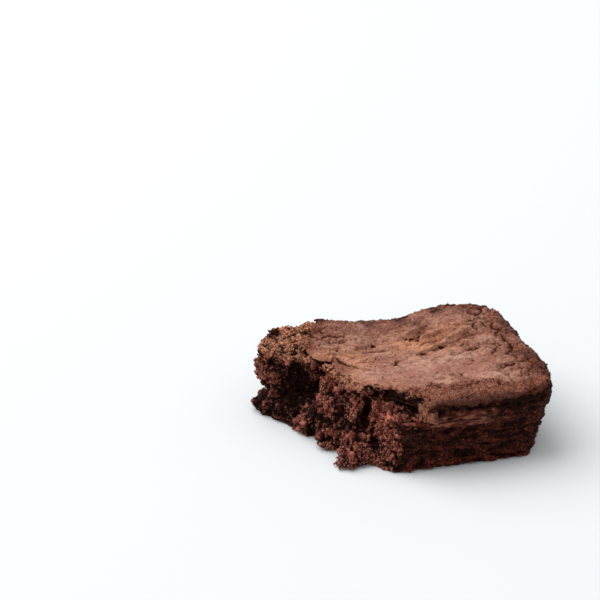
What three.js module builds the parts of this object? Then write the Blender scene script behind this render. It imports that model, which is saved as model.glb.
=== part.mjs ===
// The larger part of a chocolate brownie that was torn across by hand. Millimetres, +Z up.
// It stands on its flat underside, with the baked front side facing -Y and the torn face on -X.
//
// The brownie is one solid. Every point of its skin lies at a radius from one upright line, the heart,
// so the whole form is a radius that depends on a heading round the heart and on a height. The three
// baked sides and the tear are each such a radius, and the nearest one to the heart wins.
import * as THREE from "three";

// Driving dimensions.
const HEART = { x: 3.5, y: 11.25 }; // the upright line that the form is turned about
const FRONT = 44.3; // from the heart to the front side
const BACK = 22.2; // from the heart to the back side
const RIGHT = 42.6; // from the heart to the right side, at the top
const RIGHT_TURN = 0.025; // radians that the right side is out of square with the front
const RIGHT_DRAFT = 5.8; // how far the right side leans in from the top to the foot
const BACK_DRAFT = 3.0;
const FRONT_DRAFT = 0.4;
const CORNER_POWER = 8; // roundness of the upright corners: a higher power is a sharper corner
const FAR = 200; // past its ends the tear is further off than any baked side
const MEETING_POWER = 60; // sharpness of the edge where the tear meets a baked side
const BREAK = 2.2; // width over which a baked side gives way to torn crumb
const MIDDLE_HEIGHT = 22.6; // underside to the sunken middle of the top
const SHOULDER = 2.6; // radius of the rounded rim round the baked sides
const LIP = 0.7; // radius of the broken rim along the tear
const FOOT = 1.1; // radius of the rounded edge at the underside
const RIM_BULGE = 1.2; // how far the crusty rim stands out over the sides
const RIM_AT = 0.88; // where the rim stands out furthest, as a share of the height
const RIM_SPREAD = 0.14;
const UNDERCUT = 1.2; // how far the crumb draws back under the crust along the tear
const UNDERCUT_AT = 0.86;
const UNDERCUT_SPREAD = 0.09;

// Unevenness of the skin: the size of its bumps and how far they stand out or sink in.
const TORN_COARSE = { size: 5.5, depth: 1.5 };
const TORN_FINE = { size: 2.4, depth: 0.7 };
const BAKED_WAVE = { size: 6.0, depth: 0.3 };
const TOP_WAVE = { size: 9.0, depth: 0.35 };

// The tear, from the front to the back, as it runs along the top and along the underside.
const TEAR_TOP = [
  [2.4, -39.0], [0.2, -30.0], [-5.2, -21.5], [-12.2, -16.0], [-17.8, -9.5], [-20.8, -0.8], [-22.8, 6.6],
  [-27.8, 12.2], [-34.0, 15.6], [-39.6, 19.5], [-40.6, 25.2], [-37.5, 30.8], [-31.5, 36.0], [-28.0, 44.0],
];
const TEAR_FOOT = [
  [2.4, -56.0], [-8.0, -36.0], [-12.4, -29.8], [-14.6, -22.5], [-20.4, -14.6], [-26.8, -9.2], [-31.6, 1.2],
  [-34.4, 8.4], [-37.0, 13.4], [-39.4, 17.8], [-41.0, 23.6], [-39.0, 29.2], [-33.0, 36.0], [-28.0, 44.0],
];

// Lobes and hollows of the torn face: where they sit, how far they stand out, and how far they spread.
const TORN_LOBES = [
  { x: -19.0, y: -17.0, z: 1.5, out: 9.5, wide: 6.1, tall: 5.4 }, // the chunk that hangs on at the foot
  { x: -7.0, y: -26.0, z: 12.0, out: 2.2, wide: 6.7, tall: 7.0 }, // the lobe at the front
  { x: -12.5, y: -17.5, z: 12.5, out: -3.4, wide: 2.7, tall: 5.0 }, // the upright crevice beside it
  { x: -3.0, y: -24.0, z: 19.0, out: -2.6, wide: 5.1, tall: 2.2 }, // the gap under the crust above it
  { x: -22.0, y: -8.0, z: 12.0, out: 1.6, wide: 9.6, tall: 6.0 }, // the broad lobe in the middle
  { x: -30.0, y: 9.0, z: 13.5, out: -5.6, wide: 7.4, tall: 6.0 }, // the deep hollow under the corner
  { x: -41.5, y: 22.0, z: 10.0, out: -4.4, wide: 8.0, tall: 2.8 }, // the notch above the last prong
  { x: -41.5, y: 22.0, z: 3.5, out: 1.0, wide: 8.0, tall: 3.0 }, // the prong
];

// Swells and dips of the top: where they are, how high they stand, and how far they spread.
const TOP_SWELLS = [
  { x: 31.0, y: 28.0, up: 4.8, wide: 15.0 }, // the hump at the back right corner
  { x: -17.0, y: 30.0, up: 3.3, wide: 13.0 }, // the rise at the back left
  { x: 42.0, y: -18.0, up: 3.4, wide: 17.0 }, // the right rim
  { x: 43.0, y: 8.0, up: 1.6, wide: 10.0 }, // the same rim, further back
  { x: 8.0, y: -33.0, up: 1.2, wide: 14.0 }, // the front rim
  { x: -40.0, y: 24.0, up: 1.2, wide: 9.0 }, // the torn corner
  { x: -33.0, y: 34.0, up: 1.3, wide: 5.0 }, // its end at the back
  { x: -1.0, y: 33.0, up: 1.0, wide: 9.0 }, // the back rim
  { x: 12.0, y: 2.0, up: -0.9, wide: 12.0 }, // the sunken middle
];

// Mesh density: headings round the heart, rows up the sides, and rings as shares of the radius.
const BAKED_STEPS = 66;
const TORN_STEPS = 62;
const TORN_MARGIN = { back: 0.06, front: 0.3 }; // radians past the tear that keep its close headings
const SIDE_ROWS = 15;
const SHOULDER_ROWS = 3;
const TOP_RINGS = [0.88, 0.76, 0.62, 0.46, 0.28];
const RIM_RING = 0.6; // inside this ring the top no longer follows the height of the rim
const FLOOR_RINGS = [0.3, 0.62, 0.93];

const clamp01 = (t) => Math.min(1, Math.max(0, t));
const smooth = (t) => clamp01(t) ** 2 * (3 - 2 * clamp01(t));
const bell = (d) => Math.exp(-d * d);
const headingOf = (x, y) => {
  const angle = Math.atan2(y - HEART.y, x - HEART.x);
  return angle < 0 ? angle + 2 * Math.PI : angle; // 0 at +X, turning anticlockwise
};

// A smooth line through the tear's points, as a radius for each heading.
function tearRadius(points) {
  const knots = points
    .map(([x, y]) => ({ a: headingOf(x, y), r: Math.hypot(x - HEART.x, y - HEART.y) }))
    .sort((p, q) => p.a - q.a);
  return (heading) => {
    if (heading <= knots[0].a || heading >= knots.at(-1).a) return FAR;
    const i = knots.findIndex((k) => k.a > heading) - 1;
    const [p, q] = [knots[i], knots[i + 1]];
    const before = knots[Math.max(0, i - 1)];
    const after = knots[Math.min(knots.length - 1, i + 2)];
    const span = q.a - p.a;
    const t = (heading - p.a) / span;
    const slopeIn = ((q.r - before.r) / (q.a - before.a)) * span;
    const slopeOut = ((after.r - p.r) / (after.a - p.a)) * span;
    return (
      p.r * (2 * t ** 3 - 3 * t ** 2 + 1) +
      slopeIn * (t ** 3 - 2 * t ** 2 + t) +
      q.r * (3 * t ** 2 - 2 * t ** 3) +
      slopeOut * (t ** 3 - t ** 2)
    );
  };
}
const tearTop = tearRadius(TEAR_TOP);
const tearFoot = tearRadius(TEAR_FOOT);

// Radius of the baked block before it was torn: three flat sides joined by rounded corners.
function bakedRadius(heading, rise) {
  const [c, s] = [Math.cos(heading), Math.sin(heading)];
  const lean = 1 - rise;
  const bulge = RIM_BULGE * bell((rise - RIM_AT) / RIM_SPREAD);
  const right = RIGHT - RIGHT_DRAFT * lean + bulge;
  const front = FRONT - FRONT_DRAFT * lean + bulge;
  const back = BACK - BACK_DRAFT * lean + bulge;
  const towards = [
    Math.max(0, c * Math.cos(RIGHT_TURN) + s * Math.sin(RIGHT_TURN)) / right,
    Math.max(0, -s) / front,
    Math.max(0, s) / back,
  ];
  const sum = towards.reduce((total, t) => total + t ** CORNER_POWER, 0);
  return Math.min(FAR, sum ** (-1 / CORNER_POWER));
}

// Smooth noise from -1 to 1: random values on a lattice, blended between its corners.
function lattice(i, j, k) {
  const n = Math.sin(i * 127.1 + j * 311.7 + k * 74.7) * 43758.5453;
  return 2 * (n - Math.floor(n)) - 1;
}
function noise(x, y, z) {
  const [i, j, k] = [x, y, z].map(Math.floor);
  const [u, v, w] = [smooth(x - i), smooth(y - j), smooth(z - k)];
  const mix = (a, b, t) => a + (b - a) * t;
  const edge = (dj, dk) => mix(lattice(i, j + dj, k + dk), lattice(i + 1, j + dj, k + dk), u);
  return mix(mix(edge(0, 0), edge(1, 0), v), mix(edge(0, 1), edge(1, 1), v), w);
}

const relief = (wave, x, y, z) => wave.depth * noise(x / wave.size, y / wave.size, z / wave.size);

// Height of the top over the underside.
function topHeight(x, y) {
  const swell = TOP_SWELLS.reduce(
    (sum, s) => sum + s.up * bell(Math.hypot(x - s.x, y - s.y) / s.wide),
    0,
  );
  return MIDDLE_HEIGHT + swell + relief(TOP_WAVE, x, y, 0);
}

// The skin at a heading and a rise from 0 at the underside to 1 at the rim.
function sidePoint(heading, rise) {
  const baked = bakedRadius(heading, rise);
  const top = tearTop(heading);
  const foot = tearFoot(heading);
  const torn = foot + (top - foot) * smooth(rise);
  const tornWeight = smooth((baked - torn) / BREAK + 0.5);
  let radius = (baked ** -MEETING_POWER + torn ** -MEETING_POWER) ** (-1 / MEETING_POWER);

  const x = HEART.x + Math.cos(heading) * radius;
  const y = HEART.y + Math.sin(heading) * radius;
  const corner = SHOULDER + (LIP - SHOULDER) * tornWeight;
  const z = rise * (topHeight(x, y) - corner);

  if (tornWeight > 0) {
    const lobes = TORN_LOBES.reduce((sum, lobe) => {
      const across = Math.hypot(x - lobe.x, y - lobe.y) / lobe.wide;
      return sum + lobe.out * bell(across) * bell((z - lobe.z) / lobe.tall);
    }, 0);
    const undercut = -UNDERCUT * bell((rise - UNDERCUT_AT) / UNDERCUT_SPREAD);
    const rough = relief(TORN_COARSE, x, y, z) + relief(TORN_FINE, x, y, z);
    const calm = 1 - 0.65 * Math.abs(2 * rise - 1) ** 6; // less rough at the underside and the lip
    radius += tornWeight * (lobes + undercut + rough * calm);
  }
  radius += (1 - tornWeight) * relief(BAKED_WAVE, x, y, z);
  radius -= FOOT * (1 - Math.sqrt(1 - (1 - clamp01(z / FOOT)) ** 2));
  return { radius, z, corner };
}

// Every ring of the skin from the underside, up the sides, over the rim and in to the middle of the top.
function ringPoints(heading) {
  const at = (radius, z) => [
    HEART.x + Math.cos(heading) * radius,
    HEART.y + Math.sin(heading) * radius,
    z,
  ];
  const points = FLOOR_RINGS.map((share) => at(share * sidePoint(heading, 0).radius, 0));
  for (let row = 0; row <= SIDE_ROWS; row++) {
    const { radius, z } = sidePoint(heading, row / SIDE_ROWS);
    points.push(at(radius, z));
  }
  const rim = sidePoint(heading, 1);
  for (let row = 1; row <= SHOULDER_ROWS; row++) {
    const turn = (row / SHOULDER_ROWS) * (Math.PI / 2);
    const radius = rim.radius - rim.corner * (1 - Math.cos(turn));
    points.push(at(radius, rim.z + rim.corner * Math.sin(turn)));
  }
  for (const share of TOP_RINGS) {
    const radius = share * (rim.radius - rim.corner);
    const [x, y] = at(radius, 0);
    const atRim = smooth((share - RIM_RING) / (1 - RIM_RING));
    const z = topHeight(x, y) * (1 - atRim) + (rim.z + rim.corner) * atRim;
    points.push([x, y, z]);
  }
  return points;
}

// Headings are closer together along the tear, which holds the fine relief.
function headings() {
  const start = headingOf(...TEAR_TOP.at(-1)) - TORN_MARGIN.back;
  const end = headingOf(...TEAR_FOOT[0]) + TORN_MARGIN.front;
  const along = (from, to, steps) =>
    Array.from({ length: steps }, (_, i) => from + ((to - from) * i) / steps);
  const all = [...along(start, end, TORN_STEPS), ...along(end, start + 2 * Math.PI, BAKED_STEPS)];
  return all.map((angle) => angle % (2 * Math.PI));
}

// The closed skin: a grid of headings by rings, with one point to close each end.
function brownieGeometry() {
  const columns = headings().map(ringPoints);
  const rings = columns[0].length;
  const vertices = columns.flat(2);
  const floorCentre = vertices.length / 3;
  const topCentre = floorCentre + 1;
  vertices.push(HEART.x, HEART.y, 0);
  vertices.push(HEART.x, HEART.y, topHeight(HEART.x, HEART.y));

  const faces = [];
  columns.forEach((_, i) => {
    const here = i * rings;
    const next = ((i + 1) % columns.length) * rings;
    faces.push(floorCentre, next, here);
    for (let row = 0; row + 1 < rings; row++) {
      faces.push(here + row, next + row, next + row + 1);
      faces.push(here + row, next + row + 1, here + row + 1);
    }
    faces.push(topCentre, here + rings - 1, next + rings - 1);
  });

  const geometry = new THREE.BufferGeometry();
  geometry.setAttribute("position", new THREE.Float32BufferAttribute(vertices, 3));
  geometry.setIndex(faces);
  geometry.computeBoundingBox();
  const { min, max } = geometry.boundingBox;
  geometry.translate(-(min.x + max.x) / 2, -(min.y + max.y) / 2, -min.z);
  geometry.computeVertexNormals();
  return geometry;
}

const cake = new THREE.MeshStandardMaterial({ color: "#4a2a22", roughness: 0.85, metalness: 0 });

const brownie = new THREE.Mesh(brownieGeometry(), cake);
brownie.name = "brownie";

const group = new THREE.Group();
group.add(brownie);

export default group;
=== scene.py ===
import math

import bpy
import numpy as np
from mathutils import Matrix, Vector


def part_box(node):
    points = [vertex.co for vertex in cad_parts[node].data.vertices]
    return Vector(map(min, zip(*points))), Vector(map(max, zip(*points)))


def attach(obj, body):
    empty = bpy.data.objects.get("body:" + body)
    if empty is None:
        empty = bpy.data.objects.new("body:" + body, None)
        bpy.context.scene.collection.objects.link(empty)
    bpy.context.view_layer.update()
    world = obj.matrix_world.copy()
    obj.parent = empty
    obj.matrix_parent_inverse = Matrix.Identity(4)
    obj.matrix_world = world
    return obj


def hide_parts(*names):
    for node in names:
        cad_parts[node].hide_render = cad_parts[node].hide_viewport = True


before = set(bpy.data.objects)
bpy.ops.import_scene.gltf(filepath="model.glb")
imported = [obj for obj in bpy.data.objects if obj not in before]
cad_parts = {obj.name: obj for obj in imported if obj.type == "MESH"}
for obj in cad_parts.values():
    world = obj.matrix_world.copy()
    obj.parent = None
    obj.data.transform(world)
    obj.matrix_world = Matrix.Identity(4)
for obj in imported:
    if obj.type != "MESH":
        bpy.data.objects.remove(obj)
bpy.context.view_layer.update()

bl_info = {
    "name": "Torn chocolate brownie",
    "version": (1, 0, 0),
    "blender": (4, 5, 0),
    "location": "3D View > Sidebar > Brownie",
    "description": "Crumb, crust, loose grains and a soft-lit floor for the larger part of a torn brownie",
    "category": "Add Mesh",
}

# ---- Form ----
# The form of the brownie, in millimetres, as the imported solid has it. Every point of the skin lies at a
# radius from one upright line, the heart, for a heading round it and a rise from the underside to the rim.
MM = 0.001
TURN = 2.0 * math.pi
HEART = np.array([3.5, 11.25])
FRONT, BACK, RIGHT = 44.3, 22.2, 42.6  # from the heart to the baked sides
RIGHT_TURN = 0.025
RIGHT_DRAFT, BACK_DRAFT, FRONT_DRAFT = 5.8, 3.0, 0.4
CORNER_POWER = 8
MEETING_POWER = 60
FAR = 200.0
BREAK = 2.2  # width over which a baked side gives way to torn crumb
MIDDLE_HEIGHT = 22.6
SHOULDER, LIP, FOOT = 2.6, 0.7, 1.1
RIM_BULGE, RIM_AT, RIM_SPREAD = 1.2, 0.88, 0.14
UNDERCUT, UNDERCUT_AT, UNDERCUT_SPREAD = 1.2, 0.86, 0.09

# The tear from the front to the back, along the top and along the underside, and the edge of the crust.
TEAR_TOP = [
    (2.4, -39.0), (0.2, -30.0), (-5.2, -21.5), (-12.2, -16.0), (-17.8, -9.5), (-20.8, -0.8), (-22.8, 6.6),
    (-27.8, 12.2), (-34.0, 15.6), (-39.6, 19.5), (-40.6, 25.2), (-37.5, 30.8), (-31.5, 36.0), (-28.0, 44.0),
]
TEAR_FOOT = [
    (2.4, -56.0), (-8.0, -36.0), (-12.4, -29.8), (-14.6, -22.5), (-20.4, -14.6), (-26.8, -9.2), (-31.6, 1.2),
    (-34.4, 8.4), (-37.0, 13.4), (-39.4, 17.8), (-41.0, 23.6), (-39.0, 29.2), (-33.0, 36.0), (-28.0, 44.0),
]
CRUST_EDGE = [
    (2.4, -42.0), (1.7, -30.7), (1.4, -27.4), (-1.3, -22.2), (-4.6, -17.8), (-10.8, -13.7), (-15.2, -10.2),
    (-16.6, -4.5), (-18.7, 1.4), (-17.6, 7.7), (-22.4, 10.4), (-24.6, 13.7), (-23.4, 21.8), (-20.3, 26.7),
    (-16.3, 32.4), (-12.0, 44.0),
]

# Lobes and hollows of the torn face: x, y, z, how far they stand out, how far they spread round and up.
TORN_LOBES = [
    (-19.0, -17.0, 1.5, 9.5, 6.1, 5.4),  # the chunk that hangs on at the foot
    (-7.0, -26.0, 12.0, 2.2, 6.7, 7.0),  # the lobe at the front
    (-12.5, -17.5, 12.5, -3.4, 2.7, 5.0),  # the upright crevice beside it
    (-3.0, -24.0, 19.0, -2.6, 5.1, 2.2),  # the gap under the crust above it
    (-22.0, -8.0, 12.0, 1.6, 9.6, 6.0),  # the broad lobe in the middle
    (-30.0, 9.0, 13.5, -5.6, 7.4, 6.0),  # the deep hollow under the corner
    (-41.5, 22.0, 10.0, -4.4, 8.0, 2.8),  # the notch above the last prong
    (-41.5, 22.0, 3.5, 1.0, 8.0, 3.0),  # the prong
]
HOLLOWS = TORN_LOBES[2:4] + TORN_LOBES[5:7]
# Smaller lobes and hollows of the loose crumb, which the solid leaves out, in the same terms.
TORN_DETAILS = [
    (-14.0, -15.3, 14.6, -4.6, 1.1, 4.0),  # the crevice, narrow and deep
    (-17.2, -13.9, 14.6, 1.4, 1.3, 2.6),  # the small lump on its left
    (-9.6, -21.8, 15.0, 1.0, 2.6, 3.6),  # the lit lobe on its right
    (-7.0, -18.2, 21.2, -3.4, 3.0, 1.4),  # the gap under the crust, left part
    (-1.0, -27.0, 21.0, -4.0, 2.6, 1.6),  # the gap under the crust, right part
    (-3.6, -23.4, 19.0, 1.2, 1.6, 1.3),  # crumb standing up inside it
    (-22.6, 7.6, 19.0, -2.2, 1.3, 0.9),  # a pit in the upper lobe
    (-21.6, 3.0, 17.4, 1.5, 4.0, 2.5),  # the upper lobe
    (-24.6, 9.9, 17.8, 1.8, 2.2, 1.8),  # its end over the hollow
    (-20.9, -10.2, 14.4, -2.6, 2.0, 2.4),  # a recess in the middle
    (-22.5, -3.5, 8.8, -1.3, 3.0, 1.3),  # a slot below the upper lobe
    (-14.0, -24.2, 6.8, -5.0, 1.5, 3.0),  # between the front lobe and the chunk at the foot
    (-21.7, -26.1, 2.5, 2.2, 4.5, 4.5),  # the chunk's outer end
    (-12.3, -28.8, 2.0, -2.2, 1.8, 3.5),  # the foot drawn in on its right
    (-28.2, -9.9, 2.2, 2.6, 1.8, 2.4),  # a small chunk at the foot
    (-24.3, -15.6, 1.0, -6.5, 2.0, 3.6),  # and the gap beside it
    (-28.9, -3.6, 1.0, -4.2, 2.4, 4.2),  # the foot drawn in on its left
    (-32.6, 13.0, 11.5, -2.4, 4.4, 5.0),  # the hollow's depth
    (-31.0, 15.0, 20.8, 1.2, 4.0, 1.6),  # clumps that hang over the hollow
    (-38.5, 25.0, 14.5, 0.6, 3.0, 2.6),  # crumbs at the far end
    (-41.0, 27.0, 5.9, -6.5, 7.5, 1.7),  # the notch above the last prong
    (-41.0, 24.5, 10.8, 3.4, 4.0, 2.1),  # a clump over it
    (-41.0, 25.0, 18.5, -1.4, 6.0, 5.5),  # the corner's outer face
    (-40.5, 30.5, 23.5, -1.8, 4.5, 4.5),  # and its upper end
]
# The same for the baked sides.
SIDE_DETAILS = [
    (42.0, -31.0, 10.0, 0.5, 4.0, 6.0),  # the right corner
    (39.5, -32.0, 0.6, 1.3, 2.4, 1.4),  # a chip that stands out at its foot
]
# Painted shade and light on the torn face: where its colour is made darker or lighter than its relief alone
# gives, for the shade and light that fall there, in the same terms. The low left part and the prong are
# painted dark for the shade of the brownie's torn-off part, which is not built.
TORN_SHADES = [
    (-34.0, 12.0, 5.0, -0.34, 8.0, 7.0),  # the low left part
    (-40.5, 22.0, 2.5, -0.40, 5.0, 3.0),  # the prong
    (-26.0, -2.0, 4.5, -0.26, 7.0, 5.0),
    (-31.0, 13.0, 17.5, -0.24, 4.5, 2.8),  # under the torn corner
    (-20.9, -10.2, 15.0, -0.34, 2.8, 3.4),  # the recess in the middle
    (-14.0, -15.3, 14.6, -0.60, 1.2, 4.2),  # the crevice
    (-14.0, -24.2, 6.8, -0.60, 1.5, 2.6),  # the hollow over the chunk at the foot
    (-24.5, -9.0, 8.0, -0.20, 4.0, 3.0),  # the middle, low down
    (-8.4, -22.6, 16.0, 0.46, 3.6, 4.2),  # the lit lobe
    (-22.5, 4.5, 18.0, 0.58, 4.2, 2.8),  # the upper lobe
    (-7.0, -18.2, 21.4, -0.60, 3.4, 1.6),  # the gap under the crust, left part
    (-1.5, -26.5, 21.2, -0.60, 3.4, 1.8),  # the gap under the crust, right part
]
# The curled lip that the smeared band ends in, past the torn corner of the front: x, y and z.
BAND_LIP = [
    (4.0, -32.9, 16.4), (1.2, -32.5, 16.2), (-1.6, -31.0, 16.0), (-4.2, -29.4, 15.5), (-6.2, -28.0, 15.4),
]
LIP_OUT, LIP_UP = 0.8, 0.6  # half its width and half its height
# Where the crumb has sunk away below the crust: x, y, how deep and how far it spreads.
TORN_SAGS = [
    (-7.0, -18.0, 2.0, 2.4), (-3.6, -22.0, 1.2, 2.0), (-0.4, -27.0, 2.4, 2.6), (-21.0, 9.2, 2.0, 3.0),
    (-25.0, 14.0, 1.0, 2.2),
]

# Swells and dips of the top: x, y, height and spread.
TOP_SWELLS = [
    (31.0, 28.0, 4.8, 15.0), (-17.0, 30.0, 3.3, 13.0), (42.0, -18.0, 3.4, 17.0), (43.0, 8.0, 1.6, 10.0),
    (8.0, -33.0, 1.2, 14.0), (-40.0, 24.0, 1.2, 9.0), (-33.0, 34.0, 1.3, 5.0), (-1.0, 33.0, 1.0, 9.0),
    (12.0, 2.0, -0.9, 12.0),
]
# Folds of the top crust: x and y of both ends, height (a groove is negative) and width.
CRUST_FOLDS = [
    (9.5, 19.2, 18.5, 21.4, 0.50, 0.9),
    (7.0, 17.2, 14.5, 16.6, 0.55, 0.8),
    (10.2, 15.0, 18.0, 17.8, -0.45, 0.6),
    (13.0, 13.6, 24.0, 16.4, 0.70, 0.9),
    (12.6, 11.0, 20.0, 12.6, -0.40, 0.7),
    (20.0, 10.2, 31.5, 12.8, 0.75, 0.9),
    (21.5, 8.8, 33.0, 10.9, -0.50, 0.6),
    (26.5, 13.2, 36.0, 15.2, 0.50, 0.8),
    (6.8, 4.6, 16.0, 8.4, 0.45, 0.5),
    (10.0, 4.6, 22.0, 8.4, -0.35, 0.5),
    (15.0, 8.0, 27.0, 10.0, 0.35, 0.6),
    (3.0, 2.8, 0.4, -0.4, -0.60, 0.45),
    (-1.8, 3.0, 5.6, -4.6, -0.35, 0.45),
    (1.0, 2.6, 7.5, 4.4, -0.35, 0.4),
    (-11.2, 11.9, -1.3, 14.6, 0.55, 0.8),
    (-9.0, 9.2, 2.0, 10.4, -0.40, 0.6),
    (13.6, -16.2, 20.0, -13.6, -0.35, 0.5),
    (32.3, 15.4, 39.9, 16.7, -0.50, 0.6),
    (-17.0, 14.0, -7.5, 8.5, 0.35, 0.6),
    (-22.0, 14.8, -13.5, 12.6, 0.50, 0.7),
    (-20.4, 11.4, -12.0, 9.4, 0.45, 0.6),
    (-19.5, 16.5, -9.0, 19.5, -0.30, 0.6),
    (45.4, -24.0, 44.6, 38.0, 0.45, 3.0),  # the raised rim of the right side
]
FOLDS_TURN = math.radians(14.0)  # the way that its folds and layers are drawn out, from +X towards +Y
CRUST_STEP = ((-17.5, 9.0), (-9.0, -2.0))  # where its upper layer ends, near the torn corner
# Cracks of the top crust, as lines through points.
CRUST_CRACKS = [
    [(30.8, -15.1), (33.3, -13.9), (36.0, -16.1), (39.5, -14.2), (44.1, -13.9)],
    [(40.7, 18.0), (39.4, 13.1), (41.5, 11.8), (38.1, 7.4)],
    [(35.9, 4.2), (38.6, 0.8)],
    [(41.9, 29.5), (37.1, 24.3), (39.8, 21.5)],
    [(5.9, -19.8), (8.2, -17.1), (9.6, -21.1)],
    [(16.4, -12.9), (19.9, -12.7)],
    [(40.1, 7.0), (41.2, -1.9), (37.7, -6.7)],
    [(9.0, 32.3), (14.3, 31.8)],
    [(22.8, 28.4), (24.3, 29.2), (26.0, 28.6)],
    [(13.2, 14.6), (14.6, 15.6), (18.6, 16.8)],
    [(-20.3, 20.6), (-15.4, 21.6), (-11.0, 20.6)],
]
# The line on the front rim beyond which the crust is grainy: x and y.
GRAINY_FRONT = ((-5.0, 7.5, 18.0, 27.0, 35.5, 60.0), (-21.0, -16.9, -16.2, -20.1, -24.0, -24.0))
# The crust's grainy zones on the right and at the back start at these x and y.
GRAINY_RIGHT, GRAINY_BACK = 38.0, 28.5
# Headings at which the crust's torn edge lifts, and how wide each lifted part is.
FLAKE_AT, FLAKE_WIDE, FLAP_AT, FLAP_WIDE = math.radians(183.0), 0.17, math.radians(205.0), 0.13
BAND_LOW, BAND_HIGH = 14.8, 20.7  # heights that the smeared band of the front lies between
STRIP_TOP = 15.6  # below this, the tin's dark side runs on round the tear at the front
# Radii at which the unevenness of the crust's torn edge and of its lower edge is read.
TORN_EDGE_AT, LOWER_EDGE_AT = 26.0, 40.0

# Rows of the meshes, where they don't follow from a step, and where the block's headings are coarser,
# because the torn crumb covers it.
COARSER, COARSE_FROM, COARSE_TO = 2.2, math.radians(133.0), math.radians(250.0)
SIDE_ROWS, SHOULDER_ROWS = 92, 12
FLOOR_SHARES = (0.3, 0.6, 0.85, 0.96)
TOP_SHARES = (0.97, 0.93, 0.87, 0.78, 0.66, 0.5, 0.3)
TORN_FROM, TORN_TO = math.radians(126.0), math.radians(278.0)
TORN_ROWS, TORN_SHOULDER_ROWS, TORN_TOP_ROWS = 112, 4, 56
TORN_INSET = 4.0  # how far the torn crumb runs in under the crust
# The torn crumb's inner wall: rows, highest and lowest rise, how far in it stands, share of its height.
WALL_ROWS, WALL_FROM, WALL_TO, WALL_IN, WALL_SHARE = 7, 0.97, 0.02, 4.6, 0.84
# How far the block sinks below the torn crumb and the crust, and the torn crumb below its neighbours.
BLOCK_UNDER_CRUMB, BLOCK_UNDER_CRUST, CRUMB_UNDER_SIDE, CRUMB_UNDER_CRUST = 3.0, 1.1, 1.6, 1.2
CRUST_ROWS, CRUST_RIM_ROWS = 104, 16
# The crust's underside keeps each of these many rows, under the top and near the rim.
UNDER_TOP, UNDER_RIM, RIM_NEAR = 8, 3, 8
# How far the crust's face stands over the form, its corner along the tear, how far its lower edge is
# tucked in, and how far its torn lip, a flake and a flap of it lift.
CRUST_OVER, TORN_CORNER, CRUST_TUCK, LIP_LIFT, FLAKE_LIFT, FLAP_LIFT = 0.22, 0.25, 0.95, 0.25, 1.4, 0.6
# The hanging shred: x and y of both ends, rises of its foot and its top, how far in its back lies, points.
SHRED_FROM, SHRED_TO = (-0.6, -32.0), (4.6, -33.5)
SHRED_FOOT, SHRED_TOP, SHRED_IN = 0.80, 0.99, 0.6
SHRED_COLUMNS, SHRED_ROWS = 44, 40
BAND_LIP_RINGS, BAND_LIP_AROUND = 60, 24
GRAIN_RINGS, GRAIN_AROUND = 3, 6
# Loose grains: how many, smallest and largest size, how far out the middle lies in radii, and the seed.
LOOSE_GRAINS = {
    "side_grains": (3600, (0.35, 1.1), (-0.2, 0.4), 4),
    "torn_granules": (2400, (0.5, 1.4), (-0.3, 0.4), 5),
    "torn_fines": (5500, (0.3, 0.75), (-0.3, 0.4), 6),
    "corner_grains": (1300, (0.35, 1.1), (-0.3, 0.4), 7),
    "rim_grains": (5000, (0.3, 0.9), (-0.4, 0.2), 8),
}


def smooth(t):
    """3t^2 - 2t^3, with t held between 0 and 1."""
    t = np.clip(t, 0.0, 1.0)
    return t * t * (3.0 - 2.0 * t)


def bell(d):
    """exp(-d^2): 1 at no distance, falling away on both sides."""
    return np.exp(-d * d)


def hashed(cell, seed):
    """A number from 0 to 1 for each lattice cell: the fraction of a large multiple of a sine."""
    n = np.sin(cell @ np.array([127.1, 311.7, 74.7]) + 19.19 * seed) * 43758.5453
    return n - np.floor(n)


def noise(p, size, seed=0):
    """Smooth noise from -1 to 1: random values on a lattice of that cell size, blended between corners."""
    q = p / np.asarray(size, float)
    cell = np.floor(q)
    t = smooth(q - cell)
    total = 0.0
    for corner in np.ndindex(2, 2, 2):
        share = np.prod(np.where(corner, t, 1.0 - t), axis=-1)
        total = total + share * hashed(cell + corner, seed)
    return 2.0 * total - 1.0


def seeds_near(p, size, seed):
    """The jittered seed points of the 27 cells round each point: distance in cells, and a random number."""
    q = p / np.asarray(size, float)
    cell = np.floor(q)
    for step in np.ndindex(3, 3, 3):
        near = cell + np.array(step) - 1.0
        place = near + np.stack([hashed(near, seed + n) for n in (1, 2, 3)], axis=-1)
        yield np.linalg.norm(place - q, axis=-1), hashed(near, seed + 4)


def grains(p, size, seed):
    """Height of packed balls: the largest sqrt(r^2 - d^2) over the seeds, in cells, 0 in the gaps."""
    height = np.zeros(p.shape[:-1])
    for distance, chance in seeds_near(p, size, seed):
        radius = 0.5 + 0.4 * chance
        height = np.maximum(height, np.sqrt(np.maximum(radius**2 - distance**2, 0.0)))
    return height


def ridges(p, size, seed):
    """Sharp crests where smooth noise crosses zero: 1 - 2|noise|, cut off below 0."""
    return np.maximum(1.0 - 2.0 * np.abs(noise(p, size, seed)), 0.0)


def pits(p, size, seed, share, width):
    """Holes at a share of the seeds: the largest bell(d / width), 1 in the middle of a hole."""
    depth = np.zeros(p.shape[:-1])
    for distance, chance in seeds_near(p, size, seed):
        depth = np.maximum(depth, np.where(chance < share, bell(distance / width), 0.0))
    return depth


def crackle(p, size, seed):
    """A net of lines between cells: the distance to the second nearest seed less that to the nearest."""
    first = np.full(p.shape[:-1], 9.0)
    second = first.copy()
    for distance, _ in seeds_near(p, size, seed):
        second = np.minimum(second, np.maximum(first, distance))
        first = np.minimum(first, distance)
    return second - first


def layered(p, size, seed, steps):
    """Thin overlapping layers: slow noise cut into level steps with a short slope between each two."""
    level = (noise(p, size, seed) + 1.0) / 2.0 * steps
    whole = np.floor(level)
    return (whole + smooth((level - whole - 0.72) / 0.28)) / steps


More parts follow.
